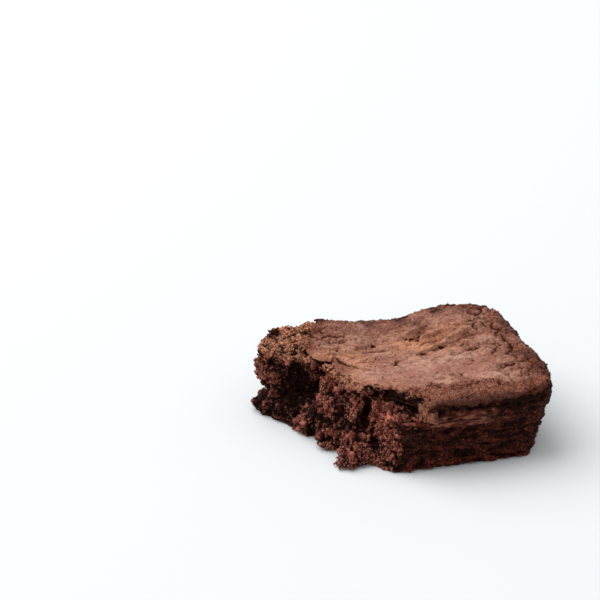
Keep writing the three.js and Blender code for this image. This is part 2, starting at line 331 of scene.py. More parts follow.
def warped(p, reach, size, seed):
    """Points moved about by three noises, so that the balls of a pattern aren't round."""
    return p + reach * np.stack([noise(p, size, seed + n) for n in range(3)], axis=-1)


def heading_of(x, y):
    """The heading round the heart at which a point lies, from 0 to a whole turn."""
    return np.mod(np.arctan2(y - HEART[1], x - HEART[0]), TURN)


def on_heading(heading, radius, z):
    """Points at a heading round the heart, a radius from it and a height."""
    x = HEART[0] + np.cos(heading) * radius
    y = HEART[1] + np.sin(heading) * radius
    return np.stack(np.broadcast_arrays(x, y, z), axis=-1)


def from_heart(p):
    """Level distance of points from the heart."""
    return np.hypot(p[..., 0] - HEART[0], p[..., 1] - HEART[1])


def polar_line(points):
    """A smooth line through the points as a radius for each heading: a cubic with matched slopes."""
    x, y = np.array(points).T
    order = np.argsort(heading_of(x, y))
    a = heading_of(x, y)[order]
    r = np.hypot(x - HEART[0], y - HEART[1])[order]
    slope = np.gradient(r, a, edge_order=1)
    slope[1:-1] = (r[2:] - r[:-2]) / (a[2:] - a[:-2])

    def radius(heading):
        h = np.mod(heading, TURN)
        i = np.clip(np.searchsorted(a, h) - 1, 0, len(a) - 2)
        span = a[i + 1] - a[i]
        t = (h - a[i]) / span
        value = (
            r[i] * (2 * t**3 - 3 * t**2 + 1)
            + slope[i] * span * (t**3 - 2 * t**2 + t)
            + r[i + 1] * (3 * t**2 - 2 * t**3)
            + slope[i + 1] * span * (t**3 - t**2)
        )
        return np.where((h <= a[0]) | (h >= a[-1]), FAR, value)

    return radius


tear_top, tear_foot, crust_line = polar_line(TEAR_TOP), polar_line(TEAR_FOOT), polar_line(CRUST_EDGE)


def nearer(a, b):
    """The smaller of two radii, with the corner between them slightly rounded."""
    return (a**-MEETING_POWER + b**-MEETING_POWER) ** (-1.0 / MEETING_POWER)


def baked_radius(heading, rise):
    """Three flat sides joined by rounded corners: the 8-norm of how far the heading faces each side."""
    c, s = np.cos(heading), np.sin(heading)
    bulge = RIM_BULGE * bell((rise - RIM_AT) / RIM_SPREAD)
    towards_right = np.maximum(0.0, c * math.cos(RIGHT_TURN) + s * math.sin(RIGHT_TURN))
    sides = (
        (towards_right, RIGHT - RIGHT_DRAFT * (1 - rise) + bulge),
        (np.maximum(0.0, -s), FRONT - FRONT_DRAFT * (1 - rise) + bulge),
        (np.maximum(0.0, s), BACK - BACK_DRAFT * (1 - rise) + bulge),
    )
    total = sum((facing / distance) ** CORNER_POWER for facing, distance in sides)
    return np.minimum(FAR, np.maximum(total, 1e-20) ** (-1.0 / CORNER_POWER))


def top_height(x, y):
    """Height of the top over the underside: the middle height plus bell-shaped swells and slow noise."""
    swell = sum(up * bell(np.hypot(x - cx, y - cy) / wide) for cx, cy, up, wide in TOP_SWELLS)
    wave = noise(np.stack([x, y, np.zeros_like(x)], axis=-1), 9.0)
    return MIDDLE_HEIGHT + swell + 0.35 * wave


def lobes_at(p, lobes, along=False):
    """How far the lobes stand out at each point: bells round and up from each one's middle, added. The
    distance round is straight and level, or taken along the outline only.
    """
    x, y, z = np.moveaxis(p, -1, 0)
    heading, reach = heading_of(x, y), from_heart(p)
    out = 0.0
    for cx, cy, cz, far, wide, tall in lobes:
        away = reach * (heading - heading_of(cx, cy)) if along else np.hypot(x - cx, y - cy)
        out = out + far * bell(away / wide) * bell((z - cz) / tall)
    return out


def side_skin(heading, rise, detailed=False):
    """The side at each heading and rise: (points, share torn, radius of the rim's corner)."""
    baked = baked_radius(heading, rise)
    top, foot = tear_top(heading), tear_foot(heading)
    torn_radius = foot + (top - foot) * smooth(rise)
    torn = smooth((baked - torn_radius) / BREAK + 0.5)
    radius = nearer(baked, torn_radius)
    flat = on_heading(heading, radius, 0.0)
    corner = SHOULDER + (LIP - SHOULDER) * torn
    z = rise * (top_height(flat[..., 0], flat[..., 1]) - corner)
    p = on_heading(heading, radius, z)

    lobes = lobes_at(p, TORN_LOBES) + (lobes_at(p, TORN_DETAILS, along=True) if detailed else 0.0)
    undercut = -UNDERCUT * bell((rise - UNDERCUT_AT) / UNDERCUT_SPREAD)
    calm = 1.0 - 0.65 * np.abs(2.0 * rise - 1.0) ** 6
    radius = radius + torn * (lobes + undercut + 1.5 * noise(p, 5.5) * calm)
    radius = radius + (1.0 - torn) * 0.3 * noise(p, 6.0)
    radius = radius - FOOT * (1.0 - np.sqrt(1.0 - (1.0 - np.clip(z / FOOT, 0, 1)) ** 2))
    return on_heading(heading, radius, z), torn, corner


def torn_share(p, torn):
    """Share torn, less the strip below the smeared band where the tin's dark side runs on round the tear."""
    x, y, z = np.moveaxis(p, -1, 0)
    border = 1.2 - 8.0 * smooth((STRIP_TOP - z) / 1.0)
    strip = smooth((x - border + 1.1 * noise(p, 2.4, 66)) / 1.2 + 0.5) * smooth((-25.0 - y) / 2.5)
    return torn * (1.0 - strip)


def part_centre():
    """Middle of the form's own bounding box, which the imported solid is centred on."""
    points, _, _ = side_skin(np.linspace(0, TURN, 720)[:, None], np.linspace(0, 1, 48)[None, :])
    flat = points.reshape(-1, 3)[:, :2]
    return (flat.min(axis=0) + flat.max(axis=0)) / 2


cad_middle = (np.array(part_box("brownie")[0])[:2] + np.array(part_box("brownie")[1])[:2]) / 2
TO_ROW = np.append(cad_middle / MM - part_centre(), 0.0)  # from the form's millimetres to the row's


def even_headings(step, coarse=1.0, coarse_from=0.0, coarse_to=0.0, first=0.0, last=TURN):
    """Headings spaced evenly along the outline, and that many times wider between two headings."""
    heading = np.linspace(first, last, 6001)
    points, _, _ = side_skin(heading, np.full_like(heading, 0.5))
    length = np.linalg.norm(np.diff(points, axis=0), axis=-1)
    is_coarse = (heading[1:] > coarse_from) & (heading[1:] < coarse_to)
    walked = np.append(0.0, np.cumsum(length / np.where(is_coarse, step * coarse, step)))
    count = int(walked[-1])
    return np.interp(np.arange(count) / count * walked[-1], walked, heading)


def unit_normals(points, closed=False):
    """Unit normals of a grid of headings by rings: the cross product of its slopes, turned outwards."""
    along = np.gradient(points, axis=0)
    if closed:
        along = (np.roll(points, -1, axis=0) - np.roll(points, 1, axis=0)) / 2
    normal = np.cross(along, np.gradient(points, axis=1))
    normal /= np.maximum(np.linalg.norm(normal, axis=-1, keepdims=True), 1e-12)
    middle = np.array([HEART[0], HEART[1], MIDDLE_HEIGHT / 2])
    return normal * np.sign(np.sum(normal * (points - middle)))


def cell_area(points):
    """Area that each point of a grid stands for: the product of its two spacings."""
    spacing = [np.linalg.norm(np.gradient(points, axis=axis), axis=-1) for axis in (0, 1)]
    return spacing[0] * spacing[1]


# ---- Meshes ----
def make_piece(name, points, faces, labels, material, flat=False):
    """A mesh piece from points in the form's millimetres, with a value per point for each label."""
    mesh = bpy.data.meshes.new(name)
    points = (points + TO_ROW) * MM
    points[:, 2] = np.maximum(points[:, 2], 0.0)
    sizes = np.concatenate([np.full(len(f), f.shape[1]) for f in faces])
    corners = np.concatenate([f.ravel() for f in faces])
    mesh.vertices.add(len(points))
    mesh.vertices.foreach_set("co", points.astype(np.float32).ravel())
    mesh.loops.add(len(corners))
    mesh.loops.foreach_set("vertex_index", corners.astype(np.int32))
    mesh.polygons.add(len(sizes))
    mesh.polygons.foreach_set("loop_start", np.append(0, np.cumsum(sizes)[:-1]).astype(np.int32))
    mesh.update(calc_edges=True)
    mesh.validate()
    if flat:
        mesh.shade_flat()
    else:
        mesh.shade_smooth()
    for label, values in labels.items():
        layer = mesh.attributes.new(label, "FLOAT", "POINT")
        layer.data.foreach_set("value", np.asarray(values, np.float32).ravel())
    mesh.materials.append(material)
    piece = bpy.data.objects.new(name, mesh)
    bpy.context.scene.collection.objects.link(piece)
    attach(piece, "root")
    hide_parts("brownie")
    return piece


def outward(points, faces):
    """The faces with their corners turned round if the volume that they close comes out negative."""
    volume = 0.0
    for f in faces:
        for n in range(1, f.shape[1] - 1):
            a, b, c = points[f[:, 0]], points[f[:, n]], points[f[:, n + 1]]
            volume += np.sum(a * np.cross(b, c))
    return [f[:, ::-1] for f in faces] if volume < 0 else faces


def skin_faces(rings, around):
    """Faces of a closed skin: quads between neighbouring rings, and a fan of triangles to each pole."""
    index = np.arange(rings * around).reshape(rings, around)
    ahead = np.roll(index, -1, axis=1)
    quads = np.stack([index[:-1], ahead[:-1], ahead[1:], index[1:]], axis=-1).reshape(-1, 4)
    first, last = rings * around, rings * around + 1
    start = np.stack([np.full(around, first), ahead[0], index[0]], axis=-1)
    end = np.stack([np.full(around, last), index[-1], ahead[-1]], axis=-1)
    return [quads, np.concatenate([start, end])]


def make_skin(name, grid, labels, material, slot):
    """A closed piece from a grid of rings by points, with one more point to close each end."""
    rings, around, _ = grid.shape
    points = np.concatenate([grid.reshape(-1, 3), grid[:1].mean(1), grid[-1:].mean(1)])
    whole = {}
    for label, values in labels.items():
        ends = [values[0].mean(keepdims=True), values[-1].mean(keepdims=True)]
        whole[label] = np.concatenate([values.ravel(), *ends])
    return make_piece(name, points, outward(points, skin_faces(rings, around)), whole, material)


# ---- Surfaces ----
def crust_reach(heading):
    """How far the crust reaches on each heading, and whether it ends there in a torn edge."""
    flat = on_heading(heading, TORN_EDGE_AT, 0.0)
    ragged = 1.1 * noise(flat, 2.8, 31) + 0.8 * noise(flat, 1.2, 32) + 0.4 * noise(flat, 0.5, 33)
    line = crust_line(heading) + ragged
    baked = baked_radius(heading, np.ones_like(heading))
    return nearer(baked, line), smooth((baked - line) / 1.4 + 0.5)


def crust_end(heading):
    """How far down the rounded rim the crust reaches on each heading, as an angle up from the side."""
    flat = on_heading(heading, LOWER_EDGE_AT, 0.0)
    return np.clip(0.34 + 0.22 * noise(flat, 5.0, 61) + 0.30 * noise(flat, 1.2, 62), 0.0, 0.9)


def under_crust(p):
    """1 where the crust lies over a point of the top and 0 where the crumb is bare."""
    reach, _ = crust_reach(heading_of(p[..., 0], p[..., 1]))
    return smooth((reach - from_heart(p)) / 0.9 + 0.2)


def shoulder_ring(heading, rim, corner, turn):
    """Points of the rounded rim: a quarter circle of the corner's radius, at an angle up from the side."""
    radius = from_heart(rim) - corner * (1 - np.cos(turn))
    return on_heading(heading, radius, rim[..., 2] + corner * np.sin(turn))


def top_ring(heading, rim, corner, share):
    """Points of the top at a share of the way from the heart to the rim, level with the rim at its end."""
    flat = on_heading(heading, share * (from_heart(rim) - corner), 0.0)
    at_rim = smooth((share - 0.6) / 0.4)
    height = top_height(flat[..., 0], flat[..., 1])
    flat[..., 2] = height * (1 - at_rim) + (rim[..., 2] + corner) * at_rim
    return flat


def torn_relief(p, settings):
    """Torn crumb: packed uneven balls at three sizes, clumps, lumps and granules, broken up by jagged
    noise and sharp crests, with gaps between the lumps and deep pits. Bare on top it is crumpled crests.

    Returns (relief, relief where the crumb is bare on top) in millimetres, and how open to light it is,
    which paints shade into the colour: darker in the gaps and pits, paler on the clumps and crests.
    """
    bent = warped(warped(p, 1.6, 5.0, 40), 1.0, 2.1, 43)
    clumps = grains(bent, settings.clump_size / MM, 11) - 0.55
    lumps = grains(warped(bent, 0.7, 1.3, 50), settings.clump_size / MM * 0.44, 12) - 0.5
    fine = grains(warped(p, 0.5, 0.8, 46), settings.granule_size / MM, 13) - 0.45
    gaps = bell(crackle(warped(p, 1.0, 1.9, 54), 2.3, 57) / 0.11)
    gaps = gaps * smooth(0.6 + noise(p, 3.6, 58))
    holes = pits(bent, 3.0, 14, 0.42, 0.26)
    jagged = noise(bent, 1.7, 15) + 0.6 * noise(p, 0.75, 16)
    crests = ridges(warped(p, 0.6, 1.2, 18), 1.5, 17)
    face = 1.1 * clumps + 0.25 * lumps + 0.9 * jagged + 0.35 * fine + 0.8 * crests - 0.1
    face = face - 0.8 * gaps - settings.pit_depth / MM * holes
    folded = ridges(warped(p, 0.9, 2.0, 19), 2.0, 20)
    top = 0.3 * clumps + 0.9 * folded + 0.35 * crests + 0.3 * fine - 0.2 * gaps - 0.4 * holes - 0.5
    # How open to light: painted shade in the gaps and holes, painted highlight on clumps, granules and
    # crests.
    opened = 0.46 + 0.5 * clumps + 0.2 * lumps + 0.4 * fine + 0.2 * jagged + 0.35 * crests
    opened = opened - 0.5 * gaps - 0.9 * holes
    return face, top, opened


def side_relief(p, normal, settings):
    """Baked side: streaks drawn out level, small grains and long pits, and a smeared band at mid height.

    Returns (relief in millimetres, how open to light it is, share of smeared band). How open it is paints
    shade into the colour: darker in the pits and the crevice, lighter on streaks and grains. The band's
    height follows slow noise, its lower edge is a curled lip, painted lighter along it as a highlight, and a
    broken crevice runs above it.
    """
    x, z = p[..., 0], p[..., 2]
    flat = np.array([4.2, 4.2, 0.9])
    streaks = noise(p, flat, 21) + 0.6 * noise(p, flat * (0.5, 0.5, 0.6), 22)
    small = grains(warped(p, 0.45, 0.8, 46), settings.granule_size / MM, 23) - 0.45
    lumps = grains(warped(p, 1.1, 2.6, 49), (3.4, 3.4, 1.9), 24) - 0.5
    holes = pits(warped(p, 0.7, 1.2, 52), (4.2, 4.2, 1.3), 25, 0.45, 0.30)
    foot = smooth((5.0 - z + noise(p, 3.0, 55)) / 2.5)
    rough = 0.60 * streaks + 0.45 * small + (0.45 + 1.2 * foot) * lumps - (1.1 + 0.8 * foot) * holes

    ragged = 0.6 * noise(p, (3.2, 3.2, 2.2), 27) + 0.35 * noise(p, 1.2, 28)
    level = z + 0.45 * noise(p, 7.0, 26) + ragged
    low = BAND_LOW + 1.3 * bell((x - 1.0) / 5.0)
    band = smooth((level - low) / 0.6) * smooth((BAND_HIGH - level) / 1.0)
    worn = noise(p, (4.0, 4.0, 2.0), 30) - 0.14 * np.maximum(x - 18.0, 0.0)
    front = smooth((-normal[..., 1] - 0.5) / 0.3) * smooth((x + 3.0) / 2.0)
    band = band * front * smooth((worn + 1.1) / 0.5)
    swirl = 0.45 * noise(warped(p, 1.8, 3.0, 56), (4.5, 4.5, 0.8), 29) + 0.30 * small + 0.35 * lumps
    ledge = 0.5 * bell((level - low - 0.5) / 0.5)
    crevice = bell((level - BAND_HIGH - 0.4) / 0.4) * front * smooth(0.6 + 1.8 * noise(p, 2.6, 59))
    crevice = 0.9 * crevice * smooth((31.0 - x) / 6.0)
    relief = rough * (1 - band) + band * (0.25 + swirl + ledge - 0.5 * holes) - crevice
    # Painted highlight along the band's curled lip, in how open it is and in the band's share.
    lit = 0.25 * bell((level - low - 0.9) / 0.8) * band
    opened = 0.5 + 0.36 * streaks + 0.45 * small + (0.45 + 0.5 * foot) * lumps - (1.1 + 0.5 * foot) * holes
    opened = opened * (1 - 0.4 * band) + 0.28 * band - crevice + lit
    return relief, np.clip(opened, 0, 1), band * np.clip(0.75 + 0.6 * swirl + lit, 0, 1)


def block_grid(settings):
    """The whole skin from the middle of the underside, up the sides and over the rim to the middle of the
    top, on rings by headings. It sinks below the torn crumb and the crust, which are pieces of their own.
    """
    heading = even_headings(settings.side_step / MM, COARSER, COARSE_FROM, COARSE_TO)
    side, torn, corner = side_skin(heading[None], np.linspace(0.0, 1.0, SIDE_ROWS)[:, None])
    # Below the crust it draws in as far as the hollows of the loose crumb do.
    drawn_in = torn_share(side, torn) * np.clip(1.2 - lobes_at(side, TORN_DETAILS, along=True), 0.0, 8.0)
    drawn_in = drawn_in * (1 - smooth((side[..., 2] - 10.0) / 6.0))
    side = on_heading(heading[None], from_heart(side) - drawn_in, side[..., 2])
    rim, rim_corner = side[-1], corner[-1]
    floor = [on_heading(heading, share * from_heart(side[0]), 0.0) for share in FLOOR_SHARES]
    turns = np.linspace(0, math.pi / 2, SHOULDER_ROWS + 1)[1:]
    shoulder = [shoulder_ring(heading, rim, rim_corner, turn) for turn in turns]
    top = [top_ring(heading, rim, rim_corner, share) for share in TOP_SHARES]
    grid = np.concatenate([np.stack(floor), side, np.stack(shoulder), np.stack(top)])
    outer = np.swapaxes(unit_normals(np.swapaxes(grid, 0, 1), closed=True), 0, 1)

    first, last = len(floor), len(floor) + SIDE_ROWS
    is_side = np.zeros((len(grid), 1))
    is_side[first : last + len(turns)] = 1.0
    is_side[last : last + len(turns), 0] = 1 - smooth(turns / 1.2)
    torn = np.concatenate([np.repeat(torn[:1], first, 0), torn, np.repeat(torn[-1:], len(grid) - last, 0)])
    reach, crust_torn = crust_reach(heading)
    bare = smooth(torn_share(grid, torn) * 1.6)
    bare[last:] = np.maximum(bare[last:], smooth((from_heart(rim) - reach) / 1.5))
    relief, opened, band = side_relief(grid, outer, settings)
    height = grid[..., 2]
    out = relief * is_side * (1 - bare) * smooth(height / 0.7)
    out = out - BLOCK_UNDER_CRUMB * bare * smooth(height / 3.0)

    turned = np.full((len(grid), 1), -1.0)
    turned[last : last + len(turns), 0] = turns
    turned[last + len(turns) :] = 2.0
    folded = smooth((turned - crust_end(heading)) / 0.15) * (1 - crust_torn)
    covered = under_crust(grid) * (turned > 1.5)
    hidden = np.maximum(covered, folded)
    chipped = lobes_at(grid, SIDE_DETAILS, along=True) * is_side * (1 - bare)
    grid = grid + outer * (out * (1 - hidden) - BLOCK_UNDER_CRUST * hidden + chipped)[..., None]
    grid[..., 2] = np.maximum(grid[..., 2], 0.0)
    return grid, outer, {"open": opened, "smear": band * is_side, "foot": smooth((4.5 - height) / 2.5)}


def torn_grid(settings):
    """The torn face on headings by a closed loop: up the face, over the lip, in along the top to under
    the crust, and back down inside. It sinks into the baked side at both ends.
    """
    heading = even_headings(settings.torn_step / MM, first=TORN_FROM, last=TORN_TO)[:, None]
    side, torn, corner = side_skin(heading, np.linspace(0.0, 1.0, TORN_ROWS)[None, :], detailed=True)
    rim, rim_corner = side[:, -1], corner[:, -1]
    turns = np.linspace(0, math.pi / 2, TORN_SHOULDER_ROWS + 1)[1:]
    shoulder = [shoulder_ring(heading[:, 0], rim, rim_corner, turn) for turn in turns]
    rim_radius = from_heart(rim)
    reach, _ = crust_reach(heading[:, 0])
    inner = np.minimum(0.93, (reach - TORN_INSET) / (rim_radius - rim_corner))
    along = np.linspace(0, 1, TORN_TOP_ROWS + 1)[1:]
    top = [top_ring(heading[:, 0], rim, rim_corner, 1 + (inner - 1) * t) for t in along]
    grid = np.concatenate([side, np.stack(shoulder, 1), np.stack(top, 1)], axis=1)
    normal = unit_normals(grid)

    face_relief, top_relief, opened = torn_relief(grid, settings)
    is_top = np.ones(grid.shape[1])
    is_top[:TORN_ROWS] = smooth((np.arange(TORN_ROWS) - TORN_ROWS + 8) / 8.0)
    torn = np.concatenate([torn, np.repeat(torn[:, -1:], grid.shape[1] - TORN_ROWS, 1)], axis=1)
    torn = torn_share(grid, torn)
    shown = smooth(torn * 1.6 + 0.5 * noise(grid, 2.4, 65) * (torn > 0.01))
    bare = smooth((rim_radius - reach) / 1.5)[:, None]
    shown = np.maximum(shown, is_top * bare)
    shown = shown * smooth((heading - TORN_FROM) / 0.06) * smooth((TORN_TO - heading) / 0.06)
    covered = under_crust(grid) * is_top
    relief = (face_relief - 0.5) * (1 - is_top) + (top_relief - 0.15) * is_top
    out = relief * smooth(grid[..., 2] / 1.2 + 0.35) * shown - CRUMB_UNDER_SIDE * (1 - shown)
    out = out * (1 - covered) - CRUMB_UNDER_CRUST * covered
    sag = 0.0
    for x, y, deep, wide in TORN_SAGS:
        sag = sag + deep * bell(np.hypot(grid[..., 0] - x, grid[..., 1] - y) / wide)
    sag = sag * smooth((grid[..., 2] - 17.0) / 4.0)
    grid = grid + normal * out[..., None]
    grid[..., 2] -= sag

    wall = side_skin(heading, np.linspace(WALL_FROM, WALL_TO, WALL_ROWS)[None, :])[0]
    wall = on_heading(heading, from_heart(wall) - WALL_IN, wall[..., 2] * WALL_SHARE)
    loop = np.concatenate([grid, wall], axis=1)
    bare_top = is_top * (1 - covered) * shown * smooth(0.6 + opened)
    hollow = lobes_at(grid, HOLLOWS) + lobes_at(grid, TORN_DETAILS, along=True)
    hollow = np.clip(-hollow / 5.0, 0, 1)
    shade = lobes_at(grid, TORN_SHADES, along=True) * (1 - is_top)
    # How open it is, which the colour paints as shade and light: the relief, the shade table, darker in the
    # hollows and where the crumb has sunk under the crust, a little lighter on top.
    labels = {
        "open": np.clip(opened + shade - 0.4 * hollow - 0.3 * sag + 0.1 * is_top, 0, 1),
        "toast": bare_top * (1 - smooth(sag)),
    }
    pad = np.zeros(wall.shape[:2])
    whole = {label: np.concatenate([values, pad], 1) for label, values in labels.items()}
    return grid, loop, labels, whole, shown * (1 - covered) * (1 - 0.6 * hollow), bare_top


def along_line(x, y, start, end):
    """Where a point lies against a line: share of the way along it, and distance to its side."""
    length = math.hypot(end[0] - start[0], end[1] - start[1])
    dx, dy = (end[0] - start[0]) / length, (end[1] - start[1]) / length
    return ((x - start[0]) * dx + (y - start[1]) * dy) / length, (y - start[1]) * dx - (x - start[0]) * dy


def crack_depth(p):
    """1 in the middle of a crack: a narrow bell of the distance to its wandering line."""
    moved = warped(warped(p, 0.8, 1.6, 91), 0.35, 0.6, 94)
    x, y = moved[..., 0], moved[..., 1]
    wide = 0.42 + 0.20 * noise(p, 1.3, 116)
    depth = 0.0
    for line in CRUST_CRACKS:
        for start, end in zip(line, line[1:]):
            along, aside = along_line(x, y, start, end)
            length = math.hypot(end[0] - start[0], end[1] - start[1])
            beyond = np.maximum(np.maximum(-along, along - 1.0), 0.0) * length
            depth = np.maximum(depth, bell(np.hypot(aside, beyond) / wide))
    return depth * smooth(1.2 + noise(p, 2.0, 97))


def crust_relief(p, settings):
    """Top crust: (wrinkles of the whole sheet, relief of its face, share grainy, share painted dark).

    The wrinkles are placed folds, each a bell across, steep on one side, that fades at its ends, over papery
    layers drawn out along them. The rim is packed small grains with pits, the right side has crumbled into
    lumps and crests, and cracks run in lines and in a broken net. The share painted dark is the cracks,
    where the darker crumb shows with painted shade, and painted shade in the gap under the step and in the
    pits, less a painted highlight on crumbled crests.
    """
    x, y, z = np.moveaxis(p, -1, 0)
    along_x, along_y = math.cos(FOLDS_TURN), math.sin(FOLDS_TURN)
    drawn = np.stack([(x * along_x + y * along_y) / 3.0, y * along_x - x * along_y, z], axis=-1)
    bend = 1.0 * noise(p, 7.0, 70) + 0.45 * noise(p, 2.2, 71)

    folds = 0.0
    for x0, y0, x1, y1, up, wide in CRUST_FOLDS:
        along, aside = along_line(x, y, (x0, y0), (x1, y1))
        ends = smooth(along / 0.2) * smooth((1 - along) / 0.2)
        across = (aside + bend) / wide
        folds = folds + up * ends * bell(np.maximum(-2.0 * across, 0.75 * across))
    wrinkled = bell(np.hypot(x - 19, y - 11) / 20) + 0.7 * bell(np.hypot(x + 12, y - 14) / 12)
    wrinkled = np.clip(wrinkled, 0.25, 1)
    layers = layered(warped(drawn, 0.9, 2.4, 72), 2.4, 75, 5) - 0.5
    flakes = layered(warped(drawn, 0.6, 1.1, 76), 1.25, 79, 4) - 0.5
    sheet = settings.wrinkle_depth / MM * (2.4 * folds + wrinkled * (1.1 * layers + 0.6 * flakes))
    sheet = sheet + 0.16 * noise(p, 3.2, 80) + 0.12 * noise(p, 1.5, 79)
    # An upper layer ends in a step behind the torn corner, and the crust runs on below it.
    (x0, y0), (x1, y1) = CRUST_STEP
    along, aside = along_line(x, y, (x0, y0), (x1, y1))
    aside = aside + 0.5 * bend
    step = smooth(along / 0.08) * smooth((1 - along) / 0.6)
    sheet = sheet - 0.7 * step * smooth((0.15 - aside) / 0.5)
    # The gap under the step is cut in and painted dark as its shadow.
    gap = 0.8 * step * bell((aside + 0.35) / 0.3)
    # The middle sags smooth between the folds.
    calm = bell(np.hypot((x - 5.0) / 7.0, (y - 9.0) / 7.0))
    calm = calm + bell(np.hypot((x - 12.0) / 13.0, (y + 4.0) / 7.0))
    sheet = sheet * (1 - 0.4 * np.clip(calm, 0, 1))

    edge = np.interp(x, *GRAINY_FRONT)
    front = smooth((edge - y + 2.0 * noise(p, 4.0, 81)) / 3.0)
    right = 0.9 * smooth((x - GRAINY_RIGHT + 3.0 * noise(p, 5.0, 82)) / 5.0)
    back = 0.7 * smooth((y - GRAINY_BACK + 2.0 * noise(p, 4.0, 83)) / 3.0)
    to_tear = crust_line(heading_of(x, y)) - from_heart(p)
    corner = smooth((5.0 - to_tear + 2.0 * noise(p, 2.6, 85)) / 4.0) * smooth((y - 13.0) / 5.0)
    grainy = np.maximum(np.maximum(front, right), np.maximum(back, 0.9 * corner))
    balls = grains(warped(p, 0.4, 0.9, 84), 0.95, 87) - 0.45
    lumps = grains(warped(p, 0.9, 2.6, 88), 2.7, 91) - 0.5
    holes = pits(warped(p, 0.5, 1.2, 92), 2.2, 95, 0.28, 0.26)
    chips = pits(warped(p, 0.6, 1.3, 97), 1.9, 98, 0.26, 0.24)
    # Along the right side the skin has crumbled and cracked before it turns grainy.
    crumbled = bell((x - 37.0 + 3.0 * noise(p, 7.0, 113)) / 6.5)
    crumbled = crumbled + 0.5 * bell(np.hypot((x - 27.0) / 8.0, (y - 1.0) / 7.0))
    crumbled = np.clip(crumbled * (0.75 + 0.8 * noise(p, 3.4, 114)), 0, 1)
    crests = ridges(warped(drawn, 0.8, 1.6, 115), 1.7, 118)
    face = grainy * (0.42 * balls + 0.60 * lumps - 0.9 * holes)
    face = face + (1 - grainy) * (0.28 * balls + 0.18 * noise(p, 0.8, 96) - 0.35 * chips)
    face = face + crumbled * (0.30 * balls + 0.35 * lumps + 0.45 * (crests - 0.5) - 0.4 * chips)

    net = bell(crackle(warped(p, 1.2, 3.0, 101), (4.6, 3.4, 4.0), 104) / 0.06)
    net = net * smooth((noise(p, 6.0, 108) - 0.05 + 0.4 * crumbled) / 0.25)
    net = net * np.clip(0.35 + grainy + crumbled, 0, 1)
    cracked = np.maximum(np.maximum(crack_depth(p), gap), 0.8 * net)
    face = face - 1.2 * cracked
    # Painted shade in the cracks, the gap and the pits, over the darker crumb in the cracks, and painted
    # highlight on crumbled crests.
    dark = cracked + 0.7 * holes * grainy + 0.5 * chips * (1 - grainy) - 0.5 * crumbled * (crests - 0.55)
    return sheet, face, grainy, np.clip(dark, 0, 1)


def browned_and_shaded_share(p, turned):
    """How much darker the crust is, partly from its baking and partly painted shade towards the baked sides
    and over the rim: bells of the distance to each baked side, and full on the rim.
    """
    x, y, _ = np.moveaxis(p, -1, 0)
    back = 0.80 * bell((33.4 - y) / 13.0)
    right = 0.72 * bell((46.0 - x) / 11.0)
    front = 0.95 * bell((33.5 + y) / 5.5) * smooth((x - 2.0) / 6.0)
    patchy = 1.0 + 0.8 * noise(p, 4.0, 105)
    return np.clip(np.maximum(np.maximum(back, right), front) * patchy + turned, 0, 1)


def ruddy_share(p):
    """A lighter orange share: painted highlight over the raised folds, and the paler skin along the flaky
    edge, where the top layer peels; bells round each.
    """
    x, y, _ = np.moveaxis(p, -1, 0)
    folds = 1.3 * bell(np.hypot((x - 17.0) / 14.0, (y - 14.5) / 6.5))
    edge = bell(np.hypot((x + 15.0) / 7.0, (y - 6.0) / 8.0))
    return np.clip(np.maximum(folds, edge) * (1.0 + 0.6 * noise(p, 3.0, 112)), 0, 1)


